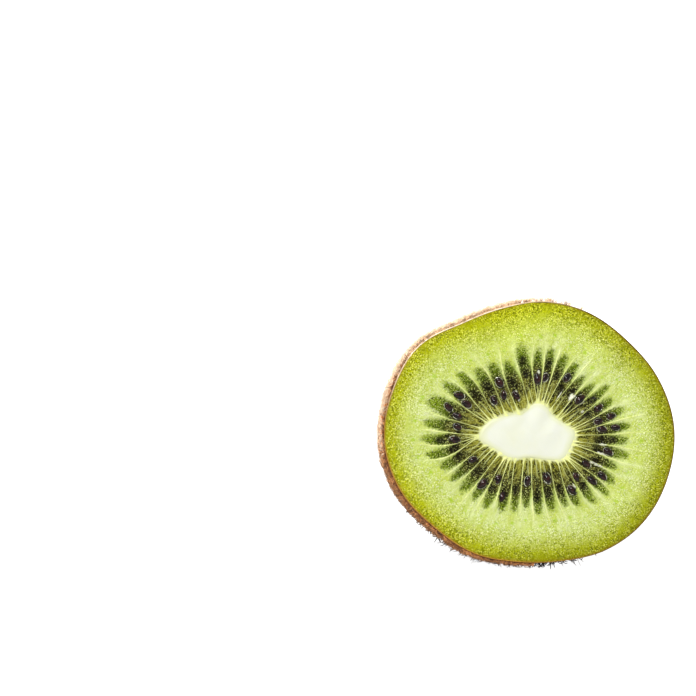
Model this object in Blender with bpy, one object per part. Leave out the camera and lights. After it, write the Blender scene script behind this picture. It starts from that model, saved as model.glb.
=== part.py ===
"""Half of a green kiwi fruit, cut straight across its middle and set down on its side.

Three solids lie one inside the other, as the cut shows them: the flesh with its skin, the
ring of seeds, and the pale core. The fruit's own frame has X to the right and Z up along the
cut face, and Y from the cut back to the far end. An empty carries that frame, leaning back so
that the cut face looks a little upwards, and stands it on the floor at Z = 0.
"""

import math
from dataclasses import dataclass

import bmesh
import bpy
from mathutils import Matrix, Vector

MM = 0.001

# Driving dimensions. An outline is a list of radii in millimetres around the cut. It starts
# at +X and runs anticlockwise, seen from in front of the cut, in even steps.
SKIN_OUTLINE = (
    27.2, 26.4, 25.3, 25.0, 24.5, 23.6, 23.9, 26.2, 26.9,
    27.4, 26.6, 25.0, 24.4, 23.5, 23.8, 25.3, 26.5, 27.0,
)
CORE_OUTLINE = (
    8.6, 6.5, 5.7, 6.1, 6.0, 4.8, 4.3, 4.9, 6.1, 8.0,
    9.3, 7.2, 6.2, 5.3, 4.3, 4.1, 4.6, 5.9, 7.9, 8.2,
)
CORE_CENTRE = (-0.4 * MM, -0.2 * MM)
HALF_LENGTH = 34.0 * MM
SEED_RING_LENGTH = 29.5 * MM
CORE_LENGTH = 25.0 * MM

# The seed ring reaches this share of the way from the core to the skin.
SEED_RING_SHARE = 0.52
SEED_RING_POINTS = 20

# How full a layer is from the cut to the far end: 2 is an ellipse, and more is barrelled.
SKIN_FULLNESS = 2.2
INNER_FULLNESS = 2.1

# Towards the far end the sections turn this much rounder than the cut.
ROUNDNESS = 0.7

# The blunt nub at the far end, where the flower was.
NUB_HEIGHT = 0.8 * MM
NUB_RADIUS = 3.4 * MM

LEAN = math.radians(18.0)
REST_DEPTH = 0.8 * MM
GAP = 0.3 * MM
OVERSHOOT = 1.0 * MM
AT_THE_CUT = 1e-4
SMOOTH_ANGLE = math.radians(35.0)


@dataclass(frozen=True)
class Layer:
    """One layer of the fruit: its outline at the cut, its length, and its plain colour."""

    name: str
    radii: tuple
    length: float
    fullness: float
    segments: tuple
    colour: tuple
    roughness: float
    centre: tuple = (0.0, 0.0)
    nub: float = 0.0


def outline_radius(radii, angle):
    """The radius at an angle, on the closed smooth curve through evenly spaced radii."""
    count = len(radii)
    place = (angle / math.tau) % 1.0 * count
    first = int(place)
    t = place - first
    before, here, after, beyond = (radii[(first + step) % count] for step in (-1, 0, 1, 2))
    slope = after - before
    bend = 2 * before - 5 * here + 4 * after - beyond
    twist = 3 * (here - after) + beyond - before
    return here + 0.5 * t * (slope + t * (bend + t * twist))


def half_body(layer, offset=0.0, rim_y=0.0):
    """A closed half body: half of a sphere, drawn out to the layer's outline and length.

    offset grows the body on all sides but the cut, and rim_y moves the flat face along Y.
    """
    around, along = layer.segments
    radii = [radius + offset for radius in layer.radii]
    length = layer.length + offset
    mean_radius = sum(radii) / len(radii)
    mesh = bmesh.new()
    bmesh.ops.create_uvsphere(mesh, u_segments=around, v_segments=along, radius=1.0)
    bmesh.ops.rotate(mesh, verts=mesh.verts, matrix=Matrix.Rotation(-math.pi / 2, 3, "X"))
    front = [vertex for vertex in mesh.verts if vertex.co.y < -AT_THE_CUT]
    bmesh.ops.delete(mesh, geom=front, context="VERTS")

    for vertex in mesh.verts:
        angle = math.atan2(vertex.co.z, vertex.co.x)
        across = min(1.0, math.hypot(vertex.co.x, vertex.co.z)) ** (2.0 / layer.fullness)
        depth = max(0.0, vertex.co.y) ** (2.0 / layer.fullness)
        section = outline_radius(radii, angle)
        radius = across * (section + ROUNDNESS * depth**2 * (mean_radius - section))
        y = length * depth if vertex.co.y > AT_THE_CUT else rim_y
        if y > length / 2:
            y += layer.nub * math.exp(-((radius / NUB_RADIUS) ** 4))
        x = layer.centre[0] + radius * math.cos(angle)
        z = layer.centre[1] + radius * math.sin(angle)
        vertex.co = Vector((x, y, z))

    close_faces(mesh)
    data = bpy.data.meshes.new(layer.name)
    mesh.to_mesh(data)
    mesh.free()
    return bpy.data.objects.new(layer.name, data)


def close_faces(mesh):
    """Closes the open rim of a mesh with one flat face, and turns its faces outwards."""
    bmesh.ops.holes_fill(mesh, edges=[edge for edge in mesh.edges if edge.is_boundary])
    bmesh.ops.recalc_face_normals(mesh, faces=mesh.faces)


def cut_flat(obj, plane_point, plane_normal):
    """Removes what lies beyond the plane, and closes the cut with one flat face."""
    mesh = bmesh.new()
    mesh.from_mesh(obj.data)
    everything = [*mesh.verts, *mesh.edges, *mesh.faces]
    bmesh.ops.bisect_plane(
        mesh, geom=everything, dist=1e-7, plane_co=plane_point, plane_no=plane_normal, clear_outer=True
    )
    close_faces(mesh)
    mesh.to_mesh(obj.data)
    mesh.free()


def food_material(layer):
    """A Principled material of the layer's colour."""
    material = bpy.data.materials.new("kiwi_" + layer.name)
    material.use_nodes = True
    shader = material.node_tree.nodes["Principled BSDF"]
    shader.inputs["Base Color"].default_value = (*layer.colour, 1.0)
    shader.inputs["Roughness"].default_value = layer.roughness
    shader.inputs["Metallic"].default_value = 0.0
    return material


def hollow_out(outer, inner_layer, cutters, stand):
    """Cuts the room that the next layer in takes, with a small gap all round."""
    cutter = half_body(inner_layer, offset=GAP, rim_y=-OVERSHOOT)
    cutter.name = inner_layer.name + "_room"
    cutters.objects.link(cutter)
    cutter.parent = stand
    cutter.hide_render = True
    cutter.display_type = "WIRE"
    hollow = outer.modifiers.new(cutter.name, "BOOLEAN")
    hollow.operation = "DIFFERENCE"
    hollow.solver = "EXACT"
    hollow.object = cutter


def layers():
    """The three layers, from the skin inwards."""
    flesh = Layer(
        name="flesh",
        radii=tuple(radius * MM for radius in SKIN_OUTLINE),
        length=HALF_LENGTH,
        fullness=SKIN_FULLNESS,
        segments=(84, 38),
        colour=(0.42, 0.56, 0.08),
        roughness=0.35,
        nub=NUB_HEIGHT,
    )
    core = Layer(
        name="core",
        radii=tuple(radius * MM for radius in CORE_OUTLINE),
        length=CORE_LENGTH,
        fullness=INNER_FULLNESS,
        segments=(48, 18),
        colour=(0.86, 0.87, 0.70),
        roughness=0.4,
        centre=CORE_CENTRE,
    )
    ring_radii = []
    for step in range(SEED_RING_POINTS):
        angle = math.tau * step / SEED_RING_POINTS
        inner = outline_radius(core.radii, angle)
        ring_radii.append(inner + SEED_RING_SHARE * (outline_radius(flesh.radii, angle) - inner))
    seed_ring = Layer(
        name="seed_ring",
        radii=tuple(ring_radii),
        length=SEED_RING_LENGTH,
        fullness=INNER_FULLNESS,
        segments=(56, 22),
        colour=(0.16, 0.24, 0.04),
        roughness=0.3,
        centre=CORE_CENTRE,
    )
    return [flesh, seed_ring, core]


def build():
    """Models the layers one inside the other, and stands the half fruit on the floor."""
    for old in list(bpy.data.objects):
        bpy.data.objects.remove(old)

    fruit = bpy.data.collections.new("kiwi_half")
    cutters = bpy.data.collections.new("cutters")
    for collection in (fruit, cutters):
        bpy.context.scene.collection.children.link(collection)

    nested = layers()
    pieces = [half_body(layer) for layer in nested]

    # The flat spot is cut at the lowest point of the leaning fruit.
    lean = Matrix.Rotation(-LEAN, 3, "X")
    corners = [lean @ vertex.co for vertex in pieces[0].data.vertices]
    lowest = [min(corner[axis] for corner in corners) for axis in range(3)]
    highest = [max(corner[axis] for corner in corners) for axis in range(3)]
    floor = lowest[2] + REST_DEPTH
    down = lean.transposed() @ Vector((0.0, 0.0, -1.0))
    cut_flat(pieces[0], down * -floor, down)

    stand = bpy.data.objects.new("leaning_axis", None)
    fruit.objects.link(stand)
    stand.rotation_euler = (-LEAN, 0.0, 0.0)
    stand.location = (-(lowest[0] + highest[0]) / 2, -(lowest[1] + highest[1]) / 2, -floor)

    for layer, piece in zip(nested, pieces):
        fruit.objects.link(piece)
        piece.parent = stand
        piece.data.materials.append(food_material(layer))
        piece.data.shade_smooth()
        piece.data.set_sharp_from_angle(angle=SMOOTH_ANGLE)
    for outer, inner_layer in zip(pieces, nested[1:]):
        hollow_out(outer, inner_layer, cutters, stand)


build()
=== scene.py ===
"""Looks of a green kiwi fruit half, built around its CAD solids.

The fruit's own frame has X to the right and Z up along the cut, and Y from the cut back to the
far end. Every piece is shaped there and then leant back and set down where the solids are.
A place on the cut is told by two numbers: around, a share of the way round, anticlockwise
from +X as seen from in front, and reach, which is 0 at the core's edge and 1 at the skin.
"""

from __future__ import annotations

import logging
import math
from dataclasses import dataclass
from enum import Enum
from functools import cached_property, reduce
from typing import Any, Sequence

import bpy
import numpy as np
from bpy.types import Material, Node, NodeSocket, NodeTree, Object
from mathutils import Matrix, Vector

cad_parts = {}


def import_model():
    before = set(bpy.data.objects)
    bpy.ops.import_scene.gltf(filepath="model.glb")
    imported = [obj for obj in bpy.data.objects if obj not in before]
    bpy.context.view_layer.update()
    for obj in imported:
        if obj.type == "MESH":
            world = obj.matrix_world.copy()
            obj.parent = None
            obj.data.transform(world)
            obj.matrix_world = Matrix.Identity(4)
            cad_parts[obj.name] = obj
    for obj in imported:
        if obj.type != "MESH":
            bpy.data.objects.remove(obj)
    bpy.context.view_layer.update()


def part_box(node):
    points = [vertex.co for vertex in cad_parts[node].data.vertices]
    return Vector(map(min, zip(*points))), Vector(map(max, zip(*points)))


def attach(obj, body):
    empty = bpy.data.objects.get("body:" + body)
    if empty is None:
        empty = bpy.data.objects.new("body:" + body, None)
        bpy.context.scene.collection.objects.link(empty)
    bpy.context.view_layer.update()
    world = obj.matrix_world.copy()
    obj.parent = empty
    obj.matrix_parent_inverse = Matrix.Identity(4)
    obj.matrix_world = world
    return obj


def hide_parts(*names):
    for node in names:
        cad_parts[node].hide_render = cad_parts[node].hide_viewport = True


LOG = logging.getLogger("kiwi_half")
MM = 0.001
WHOLE_TURN = math.tau
QUARTER_TURN = math.pi / 2
TINY = 1e-9
OUT_OF_CUT = np.array([0.0, -1.0, 0.0])
WHITE = (1.0, 1.0, 1.0, 1.0)

Array = np.ndarray


class Slot(Enum):
    """Names of the material slots."""

    FLESH = "flesh"
    CORE = "core"
    SKIN = "skin"
    SEEDS = "seeds"


class Hue(Enum):
    """Colours of the fruit, as red, green and blue out of 255."""

    CORE_WHITE = (225, 227, 211)
    CORE_EDGE = (218, 221, 172)
    BASE_PALE = (206, 209, 128)
    WEDGE = (172, 190, 84)
    RAY = (222, 230, 172)
    GREEN_PALE = (195, 209, 104)
    GREEN_MID = (193, 204, 78)
    GREEN_RIM = (182, 190, 10)
    GREEN_EDGE = (168, 172, 0)
    RIND_EDGE = (158, 136, 4)
    SPECK_PALE_GLINT = (244, 248, 214)
    SPECK_YELLOW_GLINT = (236, 238, 100)
    FLECK_GREEN = (146, 164, 10)
    FLECK_DEEP = (92, 100, 0)
    DOT_GREEN = (164, 196, 44)
    SEPTUM = (230, 234, 156)
    GEL_BASE = (130, 128, 30)
    GEL_OLIVE = (88, 85, 18)
    GEL_BROWN = (50, 46, 12)
    GEL_DARK = (40, 41, 9)
    GEL_GREEN = (88, 106, 18)
    GEL_TIP = (126, 150, 24)
    GEL_SPECK_GLINT = (204, 212, 124)
    GEL_SHADE = (14, 18, 0)
    STREAK_PALE = (174, 172, 76)
    STREAK_DARK = (26, 22, 4)
    FILM_GLINT = (238, 240, 216)
    SEED = (9, 5, 5)
    SEED_BROWN = (56, 26, 22)
    HALO = (18, 13, 4)
    WET_RIM_GLINT = (206, 208, 178)
    SKIN = (178, 120, 72)
    SKIN_DARK = (130, 84, 52)
    SKIN_LIGHT = (214, 160, 112)
    SKIN_EDGE = (178, 132, 46)
    SKIN_EDGE_PAINTED_SHADE = (112, 92, 20)
    HAIR_ROOT = (112, 64, 34)
    HAIR_TIP = (255, 212, 164)
    HAIR_CREAM_HIGHLIGHT = (252, 230, 200)
    HAIR_CREAM_HIGHLIGHT_ROOT = (238, 204, 168)
    CREST_HIGHLIGHT = (246, 218, 186)
    HAIR_RUSSET = (255, 182, 118)
    HAIR_RUSSET_ROOT = (108, 54, 26)
    HAIR_DARK = (84, 50, 30)
    HAIR_BROWN = (150, 98, 60)
    TUFT_ROOT = (150, 84, 28)
    TUFT_TIP = (222, 160, 84)
    SCAR = (74, 44, 32)
    GUARD_PAINTED_SHADE = (12, 7, 5)
    GUARD_TIP_PAINTED_SHADE = (34, 20, 14)

    def linear(self) -> tuple[float, ...]:
        """The colour in linear light, with full alpha."""
        shares = [value / 255.0 for value in self.value]
        return (*(s / 12.92 if s <= 0.04045 else ((s + 0.055) / 1.055) ** 2.4 for s in shares), 1.0)


def smoothstep(low: Any, high: Any, value: Any) -> Array:
    """A soft step from 0 at low to 1 at high; it falls where high is the smaller."""
    share = np.clip((value - low) / (high - low), 0.0, 1.0)
    return share * share * (3.0 - 2.0 * share)


def read_off(table: Sequence[tuple[float, float]], at: Array) -> Array:
    """Reads values off a table of places and values, straight from one to the next."""
    return np.interp(at, *np.transpose(table))


def uneven(points: Array, wavelength: float, seed: int, waves: int = 14) -> Array:
    """Smooth random unevenness, about -1 to 1, as a sum of waves in random directions.

    Args:
        points: Places, with three coordinates in the last axis.
        wavelength: The usual distance between two swells, in the same unit.
        seed: Seed of the random directions.
        waves: How many waves are added up.

    Returns:
        The unevenness at each place.
    """
    rng = np.random.default_rng(seed)
    total = np.zeros(points.shape[:-1])
    for _ in range(waves):
        direction = rng.normal(size=3)
        direction /= np.linalg.norm(direction)
        stretch = rng.uniform(0.7, 1.4) * WHOLE_TURN / wavelength
        total += np.sin(points @ direction * stretch + rng.uniform(0.0, WHOLE_TURN))
    return total / math.sqrt(waves)


def rough(points: Array, *layers: tuple[float, int, float]) -> Array:
    """Adds up unevenness in layers, each a wavelength in millimetres, a seed and a height."""
    return sum(uneven(points, size * MM, seed) * height for size, seed, height in layers)


def unit(vectors: Array) -> Array:
    """Vectors of length one, the same way."""
    return vectors / (np.linalg.norm(vectors, axis=-1)[..., None] + 1e-12)


def turned(first: Array, second: Array, angle: Any) -> Array:
    """Turns one direction towards another that is square to it, by an angle."""
    angle = np.asarray(angle)[..., None]
    return first * np.cos(angle) + second * np.sin(angle)


def in_depth(flat: Array, depth: Any) -> Array:
    """Places from their X and Z, and how deep behind the cut they lie."""
    return np.stack([flat[..., 0], np.broadcast_to(depth, flat.shape[:-1]), flat[..., 1]], axis=-1)


def bearing(points: Array) -> Array:
    """Angle of places round the fruit's long axis, anticlockwise from +X, in radians."""
    return np.arctan2(points[..., 2], points[..., 0])


def run_length(line: Array) -> Array:
    """Length along a line of places, from the first to each of them."""
    return np.concatenate([[0.0], np.cumsum(np.linalg.norm(np.diff(line, axis=0), axis=1))])


@dataclass(frozen=True)
class Outline:
    """A closed outline on the cut, through radii in millimetres at even angles.

    Attributes:
        radii: The radii, anticlockwise from +X.
        centre: Its middle on the cut, in millimetres.
    """

    radii: tuple[float, ...]
    centre: tuple[float, float] = (0.0, 0.0)

    def radius(self, angle: Array) -> Array:
        """Radius in metres, on a smooth curve through the radii.

        Args:
            angle: Angles in radians.

        Returns:
            The radius at each angle.
        """
        radii = np.array(self.radii) * MM
        place = (angle / WHOLE_TURN) % 1.0 * len(radii)
        first = np.floor(place).astype(int)
        t = place - first
        before, here, after, beyond = (radii[(first + step) % len(radii)] for step in (-1, 0, 1, 2))
        bend = 2 * before - 5 * here + 4 * after - beyond
        twist = 3 * (here - after) + beyond - before
        return here + 0.5 * t * (after - before + t * (bend + t * twist))

    def at_angle(self, angle: Array, grow: float = 0.0) -> Array:
        """X and Z at each angle, with the outline grown by grow metres."""
        round_it = np.stack([np.cos(angle), np.sin(angle)], axis=-1)
        return np.array(self.centre) * MM + (self.radius(angle) + grow)[..., None] * round_it

    def fine_line(self, grow: float = 0.0) -> Array:
        """X and Z at many angles, once round."""
        return self.at_angle(np.linspace(0.0, WHOLE_TURN, 2049), grow)

    def at_share(self, around: Array, grow: float = 0.0) -> Array:
        """X and Z at each share of the way round, measured along the line.

        Args:
            around: Shares of the way round.
            grow: How far the outline is grown, in metres.

        Returns:
            The places, with X and Z in the last axis.
        """
        line = self.fine_line(grow)
        length = run_length(line)
        wanted = (around % 1.0) * length[-1]
        return np.stack([np.interp(wanted, length, line[:, axis]) for axis in (0, 1)], axis=-1)

    @cached_property
    def girth(self) -> float:
        """The length of the outline in metres."""
        return float(run_length(self.fine_line())[-1])


@dataclass(frozen=True)
class FruitForm:
    """The form of the half fruit, as the solids have it.

    Attributes:
        skin: Outline of the cut's outer edge.
        core: Outline of the core.
        length: From the cut to the far end, in metres.
        fullness: How barrelled the side is; 2 is an ellipse.
        roundness: How much rounder the sections turn towards the far end.
        lean: How far the fruit leans back, in radians.
        skin_thickness: Thickness of the skin at the cut, in metres.
        deep_under: How far below the skin's outside the flesh ends behind the cut, in metres.
    """

    skin: Outline = Outline(
        (27.2, 26.4, 25.3, 25.0, 24.5, 23.6, 23.9, 26.2, 26.9)
        + (27.4, 26.6, 25.0, 24.4, 23.5, 23.8, 25.3, 26.5, 27.0)
    )
    core: Outline = Outline(
        (8.6, 6.5, 5.7, 6.1, 6.0, 4.8, 4.3, 4.9, 6.1, 8.0)
        + (9.3, 7.2, 6.2, 5.3, 4.3, 4.1, 4.6, 5.9, 7.9, 8.2),
        (-0.4, -0.2),
    )
    length: float = 34.0 * MM
    fullness: float = 2.2
    roundness: float = 0.7
    lean: float = math.radians(18.0)
    skin_thickness: float = 0.13 * MM
    deep_under: float = 1.2 * MM

    def turns(self, count: int) -> Array:
        """Even steps along the side, as turns from 0 at the cut to a quarter at the far end.

        Args:
            count: How many steps.

        Returns:
            count + 1 turns, in radians.
        """
        turn = np.linspace(0.0, QUARTER_TURN, 4001)
        length = run_length(self.body(np.zeros_like(turn), turn))
        return np.interp(np.linspace(0.0, length[-1], count + 1), length, turn)

    def body(self, angle: Array, turn: Array, inset: float = 0.0) -> Array:
        """Places on the skin's outside, or on a layer below it.

        Args:
            angle: Angle around the fruit, in radians.
            turn: 0 at the cut and a quarter turn at the far end, in radians.
            inset: How far below the outside, in metres.

        Returns:
            The places in the fruit's own frame.
        """
        across = np.clip(np.cos(turn), 0.0, 1.0) ** (2.0 / self.fullness)
        depth = np.clip(np.sin(turn), 0.0, 1.0) ** (2.0 / self.fullness)
        section = self.skin.radius(angle) - inset
        mean = float(np.mean(self.skin.radii)) * MM - inset
        radius = across * (section + self.roundness * depth**2 * (mean - section))
        flat = np.stack([radius * np.cos(angle), radius * np.sin(angle)], axis=-1)
        return in_depth(flat, (self.length - inset) * depth)

    def under_skin(self, angle: Array, turn: Array) -> Array:
        """Places under the skin, as thin as the skin at the cut and deeper behind it.

        Args:
            angle: Angle around the fruit, in radians.
            turn: 0 at the cut and a quarter turn at the far end, in radians.

        Returns:
            The places in the fruit's own frame.
        """
        shallow = self.body(angle, turn, self.skin_thickness)
        deep = self.body(angle, turn, self.deep_under)
        return shallow + (deep - shallow) * smoothstep(0.0, 0.3, turn)[..., None]

    def face(self, around: Array, reach: Array) -> Array:
        """Places on the cut, with no relief.

        Args:
            around: Shares of the way round.
            reach: How far from the core's edge to the skin.

        Returns:
            The places in the fruit's own frame.
        """
        inner = self.core.at_share(around)
        outer = self.skin.at_share(around, -self.skin_thickness)
        return in_depth(inner + (outer - inner) * reach[..., None], 0.0)

    def girth(self, reach: Any) -> Any:
        """The way round the cut at each reach, in metres."""
        return self.core.girth * (1.0 - reach) + self.skin.girth * reach


@dataclass(frozen=True)
class Stand:
    """Where the fruit's own frame lies, worked out from the flesh solid's box.

    Attributes:
        form: The fruit's form.
        origin: The middle of the cut, in world coordinates.
        low: The lowest corner that a hair may reach.
        high: The highest corner that a hair may reach.
        shortest: The least that is left of a shortened hair, as a share of its length.
        floor_gap: How high over the floor a hair is laid, in metres.
    """

    form: FruitForm
    origin: tuple[float, float, float]
    low: tuple[float, float, float]
    high: tuple[float, float, float]
    shortest: float = 0.05
    floor_gap: float = 0.02 * MM

    @classmethod
    def from_box(cls, form: FruitForm, low: Vector, high: Vector) -> Stand:
        """Finds the middle of the cut from the box that the leaning fruit fills.

        Args:
            form: The fruit's form.
            low: The box's lowest corner.
            high: The box's highest corner.

        Returns:
            The stand.
        """
        hairs_past_box = 0.013
        rim = form.skin.at_angle(np.linspace(0.0, WHOLE_TURN, 721))
        x = low.x - rim[:, 0].min()
        y = low.y - rim[:, 1].min() * math.sin(form.lean)
        z = high.z - rim[:, 1].max() * math.cos(form.lean)
        slack = (high - low) * hairs_past_box
        return cls(form, (x, y, z), tuple(low - slack), tuple(high + slack))

    def place(self, points: Array, lowest: float = -math.inf) -> Array:
        """Sets places of the fruit's own frame down in the world.

        Args:
            points: The places.
            lowest: Height above the floor to which lower places are lifted, in metres.

        Returns:
            World coordinates.
        """
        x, y, z = points[..., 0], points[..., 1], points[..., 2]
        sine, cosine = math.sin(self.form.lean), math.cos(self.form.lean)
        leant = np.stack([x, y * cosine + z * sine, z * cosine - y * sine], axis=-1)
        placed = leant + np.array(self.origin)
        placed[..., 2] = np.maximum(placed[..., 2], lowest)
        return placed

    def shorten(self, roots: Array, hairs: Array) -> Array:
        """Shortens the hairs that would reach too far out, and lays those below on the floor.

        Args:
            roots: Where the hairs grow, in world coordinates.
            hairs: The hairs' points, in world coordinates.

        Returns:
            The hairs' points.
        """
        away = hairs - roots[:, None]
        ahead = (np.array(self.high) - roots) / np.maximum(away.max(axis=1), TINY)
        behind = (roots - np.array(self.low)) / np.maximum(-away.min(axis=1), TINY)
        behind[:, 2] = 1.0
        share = np.clip(np.minimum(ahead.min(axis=1), behind.min(axis=1)), self.shortest, 1.0)
        kept = roots[:, None] + away * share[:, None, None]
        kept[..., 2] = np.maximum(kept[..., 2], self.floor_gap)
        return kept


class Modeller:
    """Makes meshes from grids and arrays, and finishes them."""

    @staticmethod
    def grid(name: str, points: Array, masks: dict[str, Array]) -> Object:
        """A closed skin from a grid of places, sewn up at its side seam and at both poles.

        Args:
            name: Name of the piece.
            points: Places, as rows by columns by three; the last column repeats the first.
            masks: Values to keep on the points, as rows by columns.

        Returns:
            The piece.
        """
        rows, columns = points.shape[0] - 1, points.shape[1] - 1
        bpy.ops.object.select_all(action="DESELECT")
        bpy.ops.mesh.primitive_grid_add(x_subdivisions=columns, y_subdivisions=rows, size=1.0)
        piece = bpy.context.object
        piece.name = piece.data.name = name
        start = np.empty(len(piece.data.vertices) * 3)
        piece.data.vertices.foreach_get("co", start)
        start = start.reshape(-1, 3) + 0.5
        column = np.rint(start[:, 0] * columns).astype(int)
        row = np.rint(start[:, 1] * rows).astype(int)
        piece.data.vertices.foreach_set("co", points[row, column].ravel())
        for mask, values in masks.items():
            Modeller.keep(piece, mask, values[row, column])
        bpy.ops.object.mode_set(mode="EDIT")
        bpy.ops.mesh.select_all(action="SELECT")
        bpy.ops.mesh.remove_doubles(threshold=1e-6)
        bpy.ops.mesh.normals_make_consistent(inside=False)
        bpy.ops.object.mode_set(mode="OBJECT")
        bpy.ops.object.shade_smooth_by_angle(angle=math.radians(60.0))
        piece.select_set(False)
        return piece

    @staticmethod
    def keep(piece: Object, mask: str, values: Array) -> None:
        """Keeps a value, or three, on every point of a piece, for its material to read.

        Args:
            piece: The piece.
            mask: Name of the values.
            values: A value, or a row of three, for every point.
        """
        kind, key = ("FLOAT", "value") if values.ndim == 1 else ("FLOAT_VECTOR", "vector")
        layer = piece.data.attributes.new(mask, kind, "POINT")
        layer.data.foreach_set(key, values.astype(np.float32).ravel())

    @staticmethod
    def joined(name: str, points: Array, faces: Array, masks: dict[str, Array] | None = None) -> Object:
        """One mesh of many like shapes.

        Args:
            name: Name of the piece.
            points: Places of every copy's points, as copies by points by three.
            faces: The faces of one copy, as rows of point numbers.
            masks: Values to keep on the points, as copies by points.

        Returns:
            The piece.
        """
        copies, each = points.shape[:2]
        corners = faces.shape[1]
        every = (faces[None] + np.arange(copies)[:, None, None] * each).reshape(-1, corners)
        mesh = bpy.data.meshes.new(name)
        mesh.vertices.add(copies * each)
        mesh.vertices.foreach_set("co", points.astype(np.float32).ravel())
        mesh.loops.add(every.size)
        mesh.loops.foreach_set("vertex_index", every.ravel().astype(np.int32))
        mesh.polygons.add(len(every))
        mesh.polygons.foreach_set("loop_start", np.arange(len(every), dtype=np.int32) * corners)
        mesh.update(calc_edges=True)
        mesh.shade_smooth()
        piece = bpy.data.objects.new(name, mesh)
        bpy.context.scene.collection.objects.link(piece)
        for mask, values in (masks or {}).items():
            Modeller.keep(piece, mask, values.ravel())
        return piece


class Graph:
    """Adds nodes to a node tree and links them, a line each."""

    def __init__(self, tree: NodeTree) -> None:
        """Works on a tree."""
        self.tree = tree

    def feed(self, node: Node, inputs: dict[Any, Any]) -> None:
        """Links or sets a node's inputs.

        Args:
            node: The node.
            inputs: What each input takes: an output socket, a Hue, or a plain value.
        """
        for key, value in inputs.items():
            if isinstance(value, NodeSocket):
                self.tree.links.new(value, node.inputs[key])
            else:
                node.inputs[key].default_value = value.linear() if isinstance(value, Hue) else value

    def node(self, kind: str, inputs: dict[Any, Any] | None = None, **settings: Any) -> Node:
        """Adds a node.

        Args:
            kind: The node's type.
            inputs: What its inputs take.
            **settings: The node's own settings.

        Returns:
            The node.
        """
        made = self.tree.nodes.new(kind)
        for key, value in settings.items():
            setattr(made, key, value)
        self.feed(made, inputs or {})
        return made

    def math(self, operation: str, first: Any, second: Any) -> NodeSocket:
        """One sum on two values."""
        return self.node("ShaderNodeMath", {0: first, 1: second}, operation=operation).outputs[0]

    def product(self, *factors: Any) -> NodeSocket:
        """Multiplies values."""
        return reduce(lambda first, second: self.math("MULTIPLY", first, second), factors)

    def mix(self, share: Any, first: Any, second: Any, blend: str = "MIX") -> NodeSocket:
        """Mixes two colours."""
        inputs = {0: share, 6: first, 7: second}
        return self.node("ShaderNodeMix", inputs, data_type="RGBA", blend_type=blend).outputs[2]

    def tint(self, colour: Any, hue: Hue | NodeSocket, *shares: Any) -> NodeSocket:
        """Mixes a hue into a colour, by the product of the shares."""
        return self.mix(self.product(*shares), colour, hue)

    def ramp(self, share: Any, stops: Sequence[tuple[float, Hue]]) -> NodeSocket:
        """A colour ramp.

        Args:
            share: Where on the ramp.
            stops: Places and hues.

        Returns:
            The colour.
        """
        made = self.node("ShaderNodeValToRGB", {0: share})
        elements = made.color_ramp.elements
        while len(elements) < len(stops):
            elements.new(1.0)
        for element, (place, hue) in zip(elements, stops):
            element.position, element.color = place, hue.linear()
        return made.outputs[0]

    def mask(self, name: str) -> NodeSocket:
        """A value that the piece keeps on its points."""
        return self.node("ShaderNodeAttribute", attribute_name=name).outputs["Fac"]

    def spread(self, value: Any, low: float, high: float) -> NodeSocket:
        """Spreads a value from low to high over 0 to 1, and clamps it."""
        return self.node("ShaderNodeMapRange", {0: value, 1: low, 2: high}, clamp=True).outputs[0]

    def noise(self, vector: Any, scale: Any, detail: float = 2.0) -> NodeSocket:
        """Soft noise, 0 to 1, with scale swells to the metre."""
        inputs = {"Vector": vector, "Scale": scale, "Detail": detail}
        return self.node("ShaderNodeTexNoise", inputs).outputs["Fac"]


def grain_group() -> NodeTree:
    """Fine grain that food surfaces share: bright specks, dark flecks, and their height.

    Returns:
        The node group, with Vector, Density and Share in, and Bright, Dark and Height out.
    """
    ready = bpy.data.node_groups.get("fine_grain")
    if ready:
        return ready
    tree = bpy.data.node_groups.new("fine_grain", "ShaderNodeTree")
    outlets = ("Bright", "Dark", "Height")
    for way, labels in (("INPUT", ("Vector", "Density", "Share")), ("OUTPUT", outlets)):
        for label in labels:
            kind = "NodeSocketVector" if label == "Vector" else "NodeSocketFloat"
            tree.interface.new_socket(label, in_out=way, socket_type=kind)
    graph = Graph(tree)
    given = graph.node("NodeGroupInput").outputs
    lattice = {"Vector": given["Vector"], "Scale": given["Density"]}
    cells = graph.node("ShaderNodeTexVoronoi", lattice, feature="F1").outputs
    # Each cell holds one round speck, and only a share of the cells shows its own.
    bead = graph.spread(cells["Distance"], 0.5, 0.22)
    luck = graph.node("ShaderNodeSeparateColor", {0: cells["Color"]}).outputs
    bright = graph.product(bead, graph.spread(graph.math("SUBTRACT", given["Share"], luck[0]), 0.0, 0.45))
    noise = graph.noise(given["Vector"], graph.product(given["Density"], 0.9))
    dark = graph.product(graph.spread(noise, 0.51, 0.38), graph.math("SUBTRACT", 1.0, bright))
    height = graph.math("ADD", graph.product(bead, luck[1]), noise)
    graph.feed(graph.node("NodeGroupOutput"), dict(zip(outlets, (bright, dark, height))))
    return tree


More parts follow.
